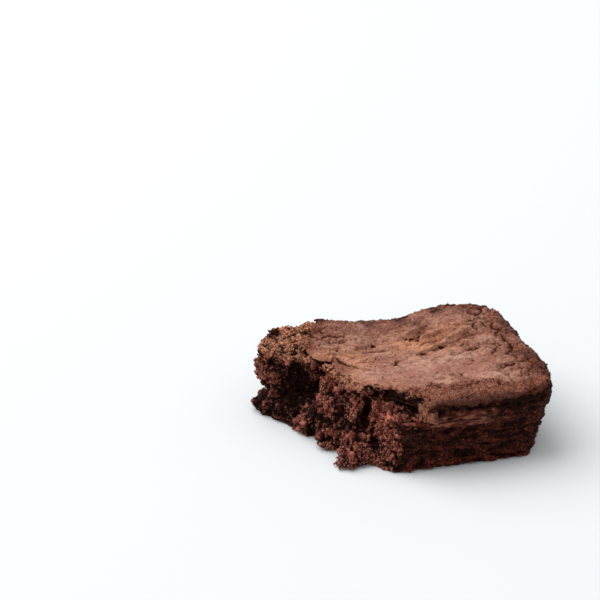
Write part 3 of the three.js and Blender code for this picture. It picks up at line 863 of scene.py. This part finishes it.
def crust_grid(settings):
    """The crust on rings by headings: out along the top and over the rim as a thin sheet, then back
    underneath to the middle. Along the tear it ends in a ragged lip.
    """
    heading = even_headings(settings.step / MM)
    reach, torn = crust_reach(heading)
    corner = SHOULDER + (TORN_CORNER - SHOULDER) * torn
    rim = on_heading(heading, reach, 0.0)
    rim[:, 2] = top_height(rim[:, 0], rim[:, 1]) - corner
    shares = 1.0 - (1.0 - np.linspace(0.012, 1.0, CRUST_ROWS)) ** 1.15
    top = np.stack([top_ring(heading, rim, corner, share) for share in shares])
    end = crust_end(heading) * (1 - torn)
    over_rim = np.linspace(0, 1, CRUST_RIM_ROWS)[1:]
    turns = math.pi / 2 + (end - math.pi / 2) * over_rim[:, None]
    shoulder = np.stack([shoulder_ring(heading, rim, corner, turn) for turn in turns])
    sheet = np.concatenate([top, shoulder])
    normal = np.swapaxes(unit_normals(np.swapaxes(sheet, 0, 1), closed=True), 0, 1)

    wrinkle, face, grainy, cracked = crust_relief(sheet, settings)
    turned = np.concatenate([np.zeros(len(top)), over_rim])[:, None] * (1 - torn)
    tuck = CRUST_TUCK * smooth((turned - 0.55) / 0.45)
    to_edge = reach - from_heart(sheet)
    flake = bell((heading - FLAKE_AT) / FLAKE_WIDE) * torn
    flap = bell((heading - FLAP_AT) / FLAP_WIDE) * torn
    lift = (FLAKE_LIFT * flake + FLAP_LIFT * flap) * smooth(1 - to_edge / 3.0)
    lift = lift + LIP_LIFT * torn * smooth(1 - to_edge / 1.2) - tuck
    out = CRUST_OVER + wrinkle + face * (1 - 0.6 * flake * smooth(1 - to_edge / 2.4)) + lift
    outer = sheet + normal * out[..., None]
    near = CRUST_ROWS - RIM_NEAR
    back = np.unique(np.r_[0:near:UNDER_TOP, near : len(sheet) : UNDER_RIM, len(sheet) - 1])[::-1]
    depth = (CRUST_OVER + wrinkle + lift - settings.thickness / MM * (1 - 0.3 * torn))[back]
    inner = sheet[back] + normal[back] * depth[..., None]
    pad = np.ones(inner.shape[:2])
    labels = {
        "grainy": np.concatenate([grainy, pad]),
        "cracked": np.concatenate([cracked, 0.8 * pad]),
        "fold": np.concatenate([np.clip(0.5 + wrinkle / 1.4, 0, 1), 0.5 * pad]),
        "thin": np.concatenate([torn * smooth(1 - to_edge / 7.0), pad]),
        "browned_and_shaded": np.concatenate([browned_and_shaded_share(sheet, turned), pad]),
        "ruddy": np.concatenate([ruddy_share(sheet), pad]),
    }
    lip = torn * smooth(1 - to_edge / 1.4) * smooth(noise(sheet, 3.0, 110) * 2.0)
    lip = lip * (1 - np.maximum(flake, flap))
    return np.concatenate([outer, inner]), outer, normal, labels, grainy, lip


def flap_grid():
    """A shred of crust that hangs down at the torn corner of the front: the side's own surface, pushed out
    by upright ridges, and closed by the same surface a little further in. Its lower end is ragged.
    """
    heading = np.linspace(heading_of(*SHRED_FROM), heading_of(*SHRED_TO), SHRED_COLUMNS)[:, None]
    foot = SHRED_FOOT + 0.05 * noise(on_heading(heading, LOWER_EDGE_AT, 0.0), 0.8, 121)
    rise = foot + (SHRED_TOP - foot) * np.linspace(0, 1, SHRED_ROWS)[None, :]
    sheet = side_skin(heading, rise)[0]
    fold = ridges(warped(sheet, 0.9, 1.6, 122), (1.5, 1.5, 4.5), 125)
    across = np.linspace(0, 1, len(heading))[:, None]
    taper = smooth(across / 0.15) * smooth((1 - across) / 0.4) * smooth((rise - foot) / 0.03)
    out = (0.8 * fold + 0.4 * noise(sheet, 1.0, 126)) * taper - 0.15
    outer = on_heading(heading, from_heart(sheet) + out, sheet[..., 2])
    inner = on_heading(heading, from_heart(sheet) - SHRED_IN, sheet[..., 2])
    grid = np.concatenate([outer, inner[:, ::-1]], axis=1)
    # The shred is painted dark as shade in the crack colour, except on its ridges, which are painted lighter
    # as highlight.
    lit = np.concatenate([fold, np.zeros_like(fold)], axis=1)
    zero = np.zeros_like(lit)
    labels = {"grainy": zero + 0.6, "cracked": 0.8 * (1 - lit), "fold": zero + 0.5, "thin": zero + 1.0}
    return grid, labels | {"browned_and_shaded": zero + 0.15, "ruddy": zero + 0.6}


def lip_grid():
    """The curled lower lip of the smeared band, where it runs on over the torn corner: a ring along a
    path, flattened, thinned to nothing at both ends and made uneven by noise.
    """
    path = np.array(BAND_LIP)
    t = np.linspace(0, 1, BAND_LIP_RINGS)
    knots = np.linspace(0, 1, len(path))
    spine = np.stack([np.interp(t, knots, path[:, n]) for n in range(3)], axis=-1)
    away = spine - (HEART[0], HEART[1], 0.0)
    away[:, 2] = 0.0
    away /= np.linalg.norm(away, axis=-1, keepdims=True)
    turn = np.linspace(0, TURN, BAND_LIP_AROUND, endpoint=False)
    width = np.sqrt(np.maximum(1 - np.abs(2 * t - 1) ** 3, 0.0))[:, None]
    across, upward = np.cos(turn)[None, :, None], np.sin(turn)[None, :, None]
    ring = away[:, None] * across * LIP_OUT + np.array([0, 0, LIP_UP]) * upward
    grid = spine[:, None] + ring * width[..., None]
    uneven = 0.3 * noise(grid, 1.4, 131) + 0.2 * noise(grid, 0.6, 132)
    return grid + ring * uneven[..., None], uneven


# ---- Loose grains ----
def ball_grid(rings, around):
    """A unit ball as rings by points with a point at each pole, and its faces."""
    polar = np.linspace(0, math.pi, rings + 2)[1:-1, None]
    turn = np.linspace(0, TURN, around, endpoint=False)[None, :] + 0.4 * np.arange(rings)[:, None]
    x, y = np.sin(polar) * np.cos(turn), np.sin(polar) * np.sin(turn)
    grid = np.stack(np.broadcast_arrays(x, y, np.cos(polar)), axis=-1)
    points = np.concatenate([grid.reshape(-1, 3), [[0, 0, 1.0]], [[0, 0, -1.0]]])
    return points, outward(points, skin_faces(rings, around))


def random_turns(rng, count):
    """Rotation matrices of random unit quaternions."""
    q = rng.normal(size=(4, count))
    w, x, y, z = q / np.linalg.norm(q, axis=0)
    rows = [
        [1 - 2 * (y * y + z * z), 2 * (x * y - z * w), 2 * (x * z + y * w)],
        [2 * (x * y + z * w), 1 - 2 * (x * x + z * z), 2 * (y * z - x * w)],
        [2 * (x * z - y * w), 2 * (y * z + x * w), 1 - 2 * (x * x + y * y)],
    ]
    return np.moveaxis(np.array(rows), -1, 0)


def scatter(name, hosts, normals, weights, labels, material):
    """Grains on a surface: lumpy balls of random size, stretch and turn, sunk part of their radius in.

    A host point is drawn for each grain by weight. Each of a grain's points stands at its radius times
    a random stretch on each axis, 0.4 to 1, and a random unevenness, 0.5 to 1.5.
    """
    count, sizes, stand, seed = LOOSE_GRAINS[name]
    rng = np.random.default_rng(seed)
    ball, faces = ball_grid(GRAIN_RINGS, GRAIN_AROUND)
    chance = np.maximum(weights.ravel(), 0)
    pick = rng.choice(chance.size, count, p=chance / chance.sum())
    radius = (sizes[0] + (sizes[1] - sizes[0]) * rng.random(count) ** 3.0) / 2
    stretch = 1 - 0.6 * rng.random((count, 3))
    uneven = 1 + (rng.random((count, len(ball))) - 0.5)
    lumpy = ball[None] * stretch[:, None] * uneven[..., None] * radius[:, None, None]
    turned = np.einsum("nij,nkj->nki", random_turns(rng, count), lumpy)
    lift = radius * (stand[0] + (stand[1] - stand[0]) * rng.random(count))
    centre = hosts.reshape(-1, 3)[pick] + normals.reshape(-1, 3)[pick] * lift[:, None]
    centre[:, 2] = np.maximum(centre[:, 2], radius * 0.7)
    points = (turned + centre[:, None]).reshape(-1, 3)
    shift = np.arange(count)[:, None, None] * len(ball)
    all_faces = [(f[None] + shift).reshape(-1, f.shape[1]) for f in faces]
    whole = {label: np.repeat(values.ravel()[pick], len(ball)) for label, values in labels.items()}
    whole["tone"] = np.repeat(rng.random(count), len(ball))
    return make_piece(name, points, all_faces, whole, material, flat=True)


# ---- Materials ----
def linear(code):
    """An sRGB hex colour as linear red, green, blue and full alpha."""
    channels = np.array([int(code[n : n + 2], 16) for n in (1, 3, 5)]) / 255.0
    straight = np.where(channels <= 0.04045, channels / 12.92, ((channels + 0.055) / 1.055) ** 2.4)
    return (*(float(channel) for channel in straight), 1.0)


def add(tree, kind, inputs, output=None, **settings):
    """One node with its settings, and a value or another node's output for each input; gives its output."""
    node = tree.nodes.new("ShaderNode" + kind)
    for label, value in settings.items():
        setattr(node, label, value)
    for label, value in inputs.items():
        socket = next(s for s in node.inputs if s.name == label and s.enabled)
        if isinstance(value, bpy.types.NodeSocket):
            tree.links.new(value, socket)
        else:
            socket.default_value = value
    return next((s for s in node.outputs if s.enabled and output in (None, s.name)), None)


def start_material(name):
    """A new material's node tree, emptied, and the object coordinates that its patterns follow."""
    material = bpy.data.materials.new(name)
    material.use_nodes = True
    tree = material.node_tree
    tree.nodes.clear()
    return material, tree, add(tree, "TexCoord", {}, "Object")


def finish_material(tree, **inputs):
    """The shader with its inputs, and the material's output."""
    named = {label.replace("_", " "): value for label, value in inputs.items()}
    shader = add(tree, "BsdfPrincipled", named)
    add(tree, "OutputMaterial", {"Surface": shader})


def patterns(tree, place, noises, labels):
    """What the colours follow: noises, each with its own inputs, and the labels that the mesh brings."""
    found = {}
    for name, inputs in noises.items():
        found[name] = add(tree, "TexNoise", {"Vector": place} | inputs, "Fac")
    for name in labels:
        found[name] = add(tree, "Attribute", {}, "Fac", attribute_name=name)
    return found


def painted(tree, colour, layers):
    """A colour under layers. Each layer's share rises from 0 to its most while a pattern goes from one
    value to another, and its own colour covers what is below by that share.
    """
    for pattern, low, high, most, over in layers:
        share = {"Value": pattern, "From Min": low, "From Max": high, "To Max": most}
        share = add(tree, "MapRange", share)
        colour = add(tree, "Mix", {"Factor": share, "A": colour, "B": over}, data_type="RGBA")
    return colour


def moist_crumb(crumb):
    """Moist chocolate crumb, torn open by hand: matt and porous, painted near black in its holes as shade,
    with the tops of its reddish granules painted paler as highlight, and painted glints. Where it was under
    the oven's heat on top, it is toasted.
    """
    material, tree, place = start_material("moist chocolate crumb")
    # Real crumb has pores and granules down to 0.1 mm. The finest are drawn at 0.5 to 0.7 mm, so that
    # they show.
    noises = {
        "fine": {"Scale": 1 / 0.0007, "Detail": 3.0},
        "broad": {"Scale": 1 / 0.0045, "Detail": 2.0},
        "sparks": {"Scale": 1 / 0.0005, "Detail": 1.0},
    }
    p = patterns(tree, place, noises, ("open", "toast"))
    # Painted shade and highlight: near black in the hollows, pale on the lit tops, lighter specks painted
    # where it is lit, and painted glints.
    lit = add(tree, "MapRange", {"Value": p["open"], "From Min": 0.18, "From Max": 0.62})
    speck_share = add(tree, "MapRange", {"Value": p["fine"], "From Min": 0.5, "From Max": 0.68, "To Max": 0.8})
    lit_specks = add(tree, "Math", {"Value": speck_share}, operation="MULTIPLY")
    tree.links.new(lit, lit_specks.node.inputs[1])
    hollow = (p["open"], 0.62, 0.18, 1.0, crumb.deep)
    toast = painted(tree, crumb.red, [(p["fine"], 0.35, 0.62, 1.0, crumb.toast), hollow])
    layers = [
        (p["broad"], 0.42, 0.6, 0.6, crumb.red),
        (p["open"], 0.5, 1.0, 0.9, crumb.pale),
        (lit_specks, 0.0, 1.0, 1.0, crumb.pale),
        (p["sparks"], 0.56, 0.68, 0.75, crumb.glint),
        hollow,
        (p["toast"], 0.0, 1.0, 1.0, toast),
    ]
    body = painted(tree, crumb.dark, layers)
    bump = add(tree, "Bump", {"Height": p["fine"], "Strength": 1.0, "Distance": 0.0005})
    # The pores swallow most of the sheen that the fat in the crumb would give it.
    finish_material(tree, Base_Color=body, Roughness=0.6, Specular_IOR_Level=0.07, Normal=bump)
    return material


def tin_side_crumb(crumb):
    """Crumb baked against a tin: darker and closer than torn crumb, partly its own colour and partly painted
    shade, drawn out level by the knife or the tin's wall, with a satin band where soft crumb was smeared
    along it.
    """
    material, tree, place = start_material("tin-side chocolate crumb")
    level_place = add(tree, "Mapping", {"Vector": place, "Scale": (0.3, 0.3, 1.0)})
    # The finest pores, 0.1 mm wide, are drawn at 0.6 mm, so that they show.
    noises = {
        "fine": {"Scale": 1 / 0.0006, "Detail": 3.0},
        "broad": {"Scale": 1 / 0.0035, "Detail": 3.0},
        "drawn": {"Vector": level_place, "Scale": 1 / 0.0010, "Detail": 4.0},
    }
    p = patterns(tree, place, noises, ("open", "smear", "foot"))
    red = add(tree, "MapRange", {"Value": p["broad"], "From Min": 0.48, "From Max": 0.64, "To Max": 0.8})
    lifted = add(tree, "Math", {"Value": p["foot"]}, operation="MAXIMUM")
    tree.links.new(red, lifted.node.inputs[1])
    # Painted shade: dark in the pits and the crevice.
    hollow = (p["open"], 0.7, 0.22, 1.0, crumb.deep)
    smear = painted(tree, crumb.dark, [(p["drawn"], 0.42, 0.68, 1.0, crumb.smear), hollow])
    layers = [
        (lifted, 0.0, 1.0, 1.0, crumb.dark),
        (p["fine"], 0.50, 0.66, 0.75, crumb.red),
        hollow,
        (p["smear"], 0.0, 1.0, 1.0, smear),
    ]
    body = painted(tree, crumb.side, layers)
    bump = add(tree, "Bump", {"Height": p["fine"], "Strength": 0.7, "Distance": 0.00025})
    finish_material(tree, Base_Color=body, Roughness=0.62, Specular_IOR_Level=0.06, Normal=bump)
    return material


def sugar_crust(crust):
    """Baked sugar crust: the thin, papery skin that beaten egg and sugar leave on top, satin where it is
    whole, painted pale on its ridges as highlight and redder in its folds as shade, and dark where it has
    cracked to the crumb, with painted shade there.
    """
    material, tree, place = start_material("papery sugar crust")
    along = {"Vector": place, "Scale": (0.3, 1.0, 1.0), "Rotation": (0.0, 0.0, -FOLDS_TURN)}
    drawn_place = add(tree, "Mapping", along)
    # The skin's real blisters and flecks are 0.2 to 0.5 mm wide, and they are drawn at 0.9 mm, so that
    # they show. Its papery wrinkles are about 2 mm apart, and its patches about 9 mm.
    noises = {
        "patches": {"Scale": 1 / 0.0090, "Detail": 3.0},
        "blotches": {"Scale": 1 / 0.0026, "Detail": 3.0},
        "flecks": {"Scale": 1 / 0.0009, "Detail": 4.0, "Roughness": 0.7},
        "drawn": {"Vector": drawn_place, "Scale": 1 / 0.0020, "Detail": 4.0},
    }
    p = patterns(tree, place, noises, ("fold", "thin", "grainy", "cracked", "ruddy", "browned_and_shaded"))
    flecks, drawn = p["flecks"], p["drawn"]
    coarse = painted(tree, crust.dark, [(flecks, 0.42, 0.6, 1.0, crust.grain)])
    # Painted light and shade among these layers: pale on the fold ridges, red down in the folds, the ruddy
    # share over the raised folds, the darker share near the sides and over the rim, and the cracks.
    layers = [
        (p["patches"], 0.42, 0.62, 1.0, crust.pale),
        (p["thin"], 0.0, 1.0, 0.7, crust.toast),
        (p["ruddy"], 0.0, 1.0, 0.9, crust.ruddy),
        (p["fold"], 0.55, 0.95, 0.6, crust.pale),
        (p["fold"], 0.46, 0.12, 0.75, crust.red),
        (drawn, 0.54, 0.75, 0.5, crust.red),
        (p["browned_and_shaded"], 0.0, 0.6, 0.8, crust.brown),
        (p["blotches"], 0.5, 0.32, 0.65, crust.red),
        (flecks, 0.44, 0.35, 0.75, crust.dark),
        (flecks, 0.54, 0.64, 0.8, crust.pale),
        (p["grainy"], 0.0, 1.0, 0.8, coarse),
        (p["browned_and_shaded"], 0.5, 1.0, 0.8, crust.dark),
        (p["cracked"], 0.0, 1.0, 0.75, crust.deep),
    ]
    skin = painted(tree, crust.skin, layers)
    bump = add(tree, "Bump", {"Height": flecks, "Strength": 1.0, "Distance": 0.0010})
    bump = add(tree, "Bump", {"Height": drawn, "Strength": 0.7, "Distance": 0.0007, "Normal": bump})
    gloss = {"Value": drawn, "From Min": 0.3, "From Max": 0.7, "To Min": 0.42, "To Max": 0.62}
    gloss = add(tree, "MapRange", gloss)
    # Cracks and crumbled skin have no sheen.
    sheen = add(tree, "MapRange", {"Value": p["cracked"], "From Max": 0.6, "To Min": 0.3, "To Max": 0.02})
    finish_material(tree, Base_Color=skin, Roughness=gloss, Specular_IOR_Level=sheen, Normal=bump)
    return material


def loose_grains(name, low, high, deep, toast=None, glint=None):
    """Loose crumbs of one kind, each a little lighter or darker than the next, painted dark in the hollows
    as shade, and with painted glints where a glint colour is given.
    """
    material, tree, place = start_material(name)
    # Drawn at 0.5 mm, because a crumb's own pores, 0.1 mm wide, are too fine to show.
    p = patterns(tree, place, {"fine": {"Scale": 1 / 0.0005, "Detail": 1.0}}, ("tone", "open", "toast"))
    layers = [(p["tone"], 0.0, 1.0, 1.0, high)]
    if glint is not None:
        layers.append((p["fine"], 0.54, 0.66, 0.75, glint))
    if toast is not None:
        toast = painted(tree, low, [(p["tone"], 0.0, 1.0, 1.0, toast)])
        layers.append((p["toast"], 0.0, 1.0, 1.0, toast))
    body = painted(tree, low, [*layers, (p["open"], 0.55, 0.1, 1.0, deep)])
    bump = add(tree, "Bump", {"Height": p["fine"], "Strength": 0.7, "Distance": 0.0002})
    finish_material(tree, Base_Color=body, Roughness=0.6, Specular_IOR_Level=0.07, Normal=bump)
    return material


# ---- Add-on: settings, operators and panel ----
def size_setting(name, description, default):
    return bpy.props.FloatProperty(
        name=name, description=description, default=default, min=0.0, precision=5, unit="LENGTH"
    )


def colour_setting(name, description, code):
    return bpy.props.FloatVectorProperty(
        name=name, description=description, default=linear(code), size=4, min=0.0, max=1.0, subtype="COLOR"
    )


class BrownieCrumb(bpy.types.PropertyGroup):
    """Sizes and colours of the crumb."""

    clump_size: size_setting("Clump size", "Width of the clumps on the torn face", 0.0048)
    granule_size: size_setting("Granule size", "Width of the smallest modelled granules", 0.0009)
    pit_depth: size_setting("Pit depth", "Depth of the holes in the torn face", 0.0022)
    torn_step: size_setting("Torn mesh step", "Point spacing on the torn face", 0.00022)
    side_step: size_setting("Side mesh step", "Point spacing on the baked sides", 0.00036)
    # Painted shade in the holes and crevices of the crumb, the tin side and the grains.
    deep: colour_setting("Hollows", "Crumb in holes and crevices", "#1c0703")
    dark: colour_setting("Crumb", "Crumb as it is all through", "#45190f")
    red: colour_setting("Reddish crumb", "Crumb where it is looser", "#7a392b")
    # Painted highlight on the lit tops of the granules.
    pale: colour_setting("Pale granules", "Tops of the granules", "#c26e5e")
    # Painted glints.
    glint: colour_setting("Glints", "Specks that catch the light", "#c4917f")
    toast: colour_setting("Toasted crumb", "Bare crumb on top", "#dc9c7a")
    # Partly the tin side's own darker colour and partly painted shade.
    side: colour_setting("Tin side", "Crumb baked against the tin", "#200b06")
    smear: colour_setting("Smeared band", "Satin band along the front", "#98604f")


class BrownieCrust(bpy.types.PropertyGroup):
    """Sizes and colours of the crust."""

    step: size_setting("Crust mesh step", "Point spacing round the crust", 0.00040)
    wrinkle_depth: size_setting("Wrinkle depth", "Depth of the crust's folds", 0.0010)
    thickness: size_setting("Crust thickness", "Thickness of the top crust", 0.0006)
    skin: colour_setting("Skin", "Whole crust", "#a96e58")
    # Also the painted highlight on the fold ridges.
    pale: colour_setting("Pale skin", "Palest parts of the crust", "#c6937c")
    toast: colour_setting("Toasted skin", "Crust along the tear and its grains", "#aa6a4a")
    # Also the painted shade down in the folds, besides the crust's own redder streaks and blotches.
    red: colour_setting("Folds", "Crust down in its folds", "#7a3c28")
    # Painted highlight over the raised folds, and paler skin along the tear.
    ruddy: colour_setting("Ruddy skin", "Thin skin over the folds and along the tear", "#e69e76")
    # Darker skin near the baked sides and over the rim: partly its baking, partly painted shade.
    brown: colour_setting("Browned skin", "Crust near the baked sides", "#824631")
    grain: colour_setting("Grainy rim", "Grains of the rim", "#a8644a")
    dark: colour_setting("Specks", "Dark specks of the crust", "#4c1e12")
    # The darker crumb in the cracks with painted shade there, and painted shade on the rim grains and the
    # hanging shred.
    deep: colour_setting("Cracks", "Crumb seen through cracks", "#260c06")


class BrownieStage(bpy.types.PropertyGroup):
    """Light and floor."""

    floor: colour_setting("Floor", "Colour of the floor", "#d9dddf")
    key_power: bpy.props.FloatProperty(
        name="Key light", description="Power of the large light", default=60.0, min=0.0, unit="POWER"
    )
    room_light: bpy.props.FloatProperty(
        name="Room light", description="Strength of the light from all round", default=0.66, min=0.0
    )


class BROWNIE_OT_block(bpy.types.Operator):
    """Make the underside and the baked sides of the cake, and the grains on them"""

    bl_idname = "brownie.block"
    bl_label = "Cake block"

    def execute(self, context):
        crumb = context.scene.brownie_crumb
        grid, normal, labels = block_grid(crumb)
        make_skin("cake_block", grid, labels, tin_side_crumb(crumb), "crumb")
        foot = 0.25 + labels["foot"] + 0.6 * smooth((normal[..., 0] - 0.5) / 0.3)
        weights = cell_area(grid) * foot * (np.abs(normal[..., 2]) < 0.6) * labels["open"]
        weights = weights * smooth((19.0 - grid[..., 2]) / 3.0) * smooth((grid[..., 0] + 9.0) / 3.0)
        material = loose_grains("tin-side crumb grains", crumb.side, crumb.red, crumb.deep)
        scatter("side_grains", grid, normal, weights, {"open": labels["open"]}, material)
        return {"FINISHED"}


class BROWNIE_OT_torn(bpy.types.Operator):
    """Make the torn face and the loose crumb on it"""

    bl_idname = "brownie.torn"
    bl_label = "Torn face"

    def execute(self, context):
        crumb = context.scene.brownie_crumb
        grid, loop, labels, whole, shown, bare_top = torn_grid(crumb)
        make_skin("torn_crumb", loop, whole, moist_crumb(crumb), "crumb")
        lip, uneven = lip_grid()
        # The lip's bumps are painted lighter and its dips darker, as light and shade.
        opened = np.clip(0.8 + uneven, 0, 1)
        soft = {"open": opened, "smear": opened, "foot": np.zeros_like(opened)}
        make_skin("band_lip", lip, soft, tin_side_crumb(crumb), "crumb")
        normal = unit_normals(grid)
        area = cell_area(grid)
        colours = (crumb.dark, crumb.red, crumb.deep, crumb.toast, crumb.glint)
        material = loose_grains("torn crumb grains", *colours)
        weights = area * shown * labels["open"] ** 2 * smooth(0.5 + noise(grid, 2.6, 67))
        bare = area * bare_top * labels["open"]
        kinds = {"torn_granules": weights, "torn_fines": weights, "corner_grains": bare}
        for name, chance in kinds.items():
            scatter(name, grid, normal, chance, labels, material)
        return {"FINISHED"}


class BROWNIE_OT_crust(bpy.types.Operator):
    """Make the top crust and the grains along its rim"""

    bl_idname = "brownie.crust"
    bl_label = "Top crust"

    def execute(self, context):
        crust = context.scene.brownie_crust
        grid, outer, normal, labels, grainy, lip = crust_grid(crust)
        skin = sugar_crust(crust)
        make_skin("top_crust", grid, labels, skin, "crust")
        make_skin("hanging_shred", *flap_grid(), skin, "crust")
        browned_and_shaded = labels["browned_and_shaded"][: len(outer)]
        right = smooth((outer[..., 0] - 36.0) / 5.0) * smooth((outer[..., 1] + 26.0) / 6.0)
        weights = cell_area(outer) * (grainy**3 * (1 - 0.35 * right) + 1.5 * lip)
        material = loose_grains("toasted crust grains", crust.dark, crust.grain, crust.deep)
        # The grains are painted dark as shade in the cracks, and darker where the crust's darker share,
        # partly painted shade, is high.
        whole = 1 - labels["cracked"][: len(outer)]
        opened = {"open": whole * (1 - 0.75 * smooth((browned_and_shaded - 0.4) / 0.5))}
        scatter("rim_grains", outer, normal, weights, opened, material)
        return {"FINISHED"}


class BROWNIE_OT_stage(bpy.types.Operator):
    """Make the floor, the lights and the camera"""

    bl_idname = "brownie.stage"
    bl_label = "Stage"

    def execute(self, context):
        stage = context.scene.brownie_stage
        make_floor(stage)
        make_lights(context.scene, stage)
        make_camera(context.scene)
        return {"FINISHED"}


# Camera, in degrees and millimetres from the middle of the base.
VIEW_TURN, VIEW_DOWN = -15.0, 24.5
VIEW_DISTANCE, VIEW_LENS, VIEW_SENSOR, VIEW_END = 725.8, 135.0, 36.0, 20.0  # the last one in metres
VIEW_AIM = np.array([-34.3, -0.4, 49.9])
# The large light, in degrees and metres.
KEY_TURN, KEY_UP, KEY_SIZE, KEY_DISTANCE = -135.0, 54.0, 3.0, 2.2
FLOOR_HALF, FLOOR_DROP = 3.0, 0.0001  # metres


def direction(turn, up):
    """The unit direction towards a viewer at that turn from -Y and that height above the horizon."""
    turn, up = math.radians(turn), math.radians(up)
    return Vector((math.sin(turn) * math.cos(up), -math.cos(turn) * math.cos(up), math.sin(up)))


def make_floor(stage):
    """A plain pale sheet, wide enough to fill the view."""
    mesh = bpy.data.meshes.new("floor")
    turns = ((-1, -1), (1, -1), (1, 1), (-1, 1))
    corners = [(x * FLOOR_HALF, y * FLOOR_HALF, -FLOOR_DROP) for x, y in turns]
    mesh.from_pydata(corners, [], [(0, 1, 2, 3)])
    material, tree, place = start_material("matt white paper")
    # The fibres are far too fine to show, so this is the sheet's own slight unevenness, 3 mm across.
    fibre = add(tree, "TexNoise", {"Vector": place, "Scale": 1 / 0.0030, "Detail": 3.0}, "Fac")
    bump = add(tree, "Bump", {"Height": fibre, "Strength": 0.05, "Distance": 0.0005})
    finish_material(tree, Base_Color=stage.floor, Roughness=0.9, Normal=bump)
    mesh.materials.append(material)
    floor = bpy.data.objects.new("floor", mesh)
    bpy.context.scene.collection.objects.link(floor)


def make_lights(scene, stage):
    """One large soft light, high at the back left, and an even room light."""
    data = bpy.data.lights.new("key", "AREA")
    data.shape, data.size, data.energy = "DISK", KEY_SIZE, stage.key_power
    light = bpy.data.objects.new("key", data)
    way = direction(KEY_TURN, KEY_UP)
    light.location = way * KEY_DISTANCE
    light.rotation_euler = (-way).to_track_quat("-Z", "Y").to_euler()
    scene.collection.objects.link(light)
    world = bpy.data.worlds.new("soft room")
    world.use_nodes = True
    room = world.node_tree.nodes["Background"]
    room.inputs["Color"].default_value = (1.0, 1.0, 1.0, 1.0)
    room.inputs["Strength"].default_value = stage.room_light
    scene.world = world
    scene.view_settings.view_transform = "Standard"


def make_camera(scene):
    """A long lens from a little left of the front, looking down."""
    camera = bpy.data.objects.new("camera", bpy.data.cameras.new("camera"))
    camera.data.lens = VIEW_LENS
    camera.data.sensor_width = VIEW_SENSOR
    camera.data.clip_end = VIEW_END
    way = direction(VIEW_TURN, VIEW_DOWN)
    camera.location = (Vector(VIEW_AIM) + way * VIEW_DISTANCE) * MM
    camera.rotation_euler = (-way).to_track_quat("-Z", "Y").to_euler()
    scene.collection.objects.link(camera)
    scene.camera = camera


class BROWNIE_PT_sidebar(bpy.types.Panel):
    """Settings and steps of the brownie"""

    bl_label = "Torn brownie"
    bl_idname = "BROWNIE_PT_sidebar"
    bl_space_type = "VIEW_3D"
    bl_region_type = "UI"
    bl_category = "Brownie"

    def draw(self, context):
        for name, group in GROUPS.items():
            for setting in group.__annotations__:
                self.layout.prop(getattr(context.scene, name), setting)
        for step in STEPS:
            self.layout.operator(step.bl_idname)


GROUPS = {"brownie_crumb": BrownieCrumb, "brownie_crust": BrownieCrust, "brownie_stage": BrownieStage}
STEPS = (BROWNIE_OT_block, BROWNIE_OT_torn, BROWNIE_OT_crust, BROWNIE_OT_stage)
CLASSES = (*GROUPS.values(), *STEPS, BROWNIE_PT_sidebar)


def register():
    for cls in CLASSES:
        bpy.utils.register_class(cls)
    for name, group in GROUPS.items():
        setattr(bpy.types.Scene, name, bpy.props.PointerProperty(type=group))


def unregister():
    for name in GROUPS:
        delattr(bpy.types.Scene, name)
    for cls in reversed(CLASSES):
        bpy.utils.unregister_class(cls)


def main():
    register()
    bpy.ops.brownie.block()
    bpy.ops.brownie.torn()
    bpy.ops.brownie.crust()
    bpy.ops.brownie.stage()


if __name__ == "__main__":
    main()
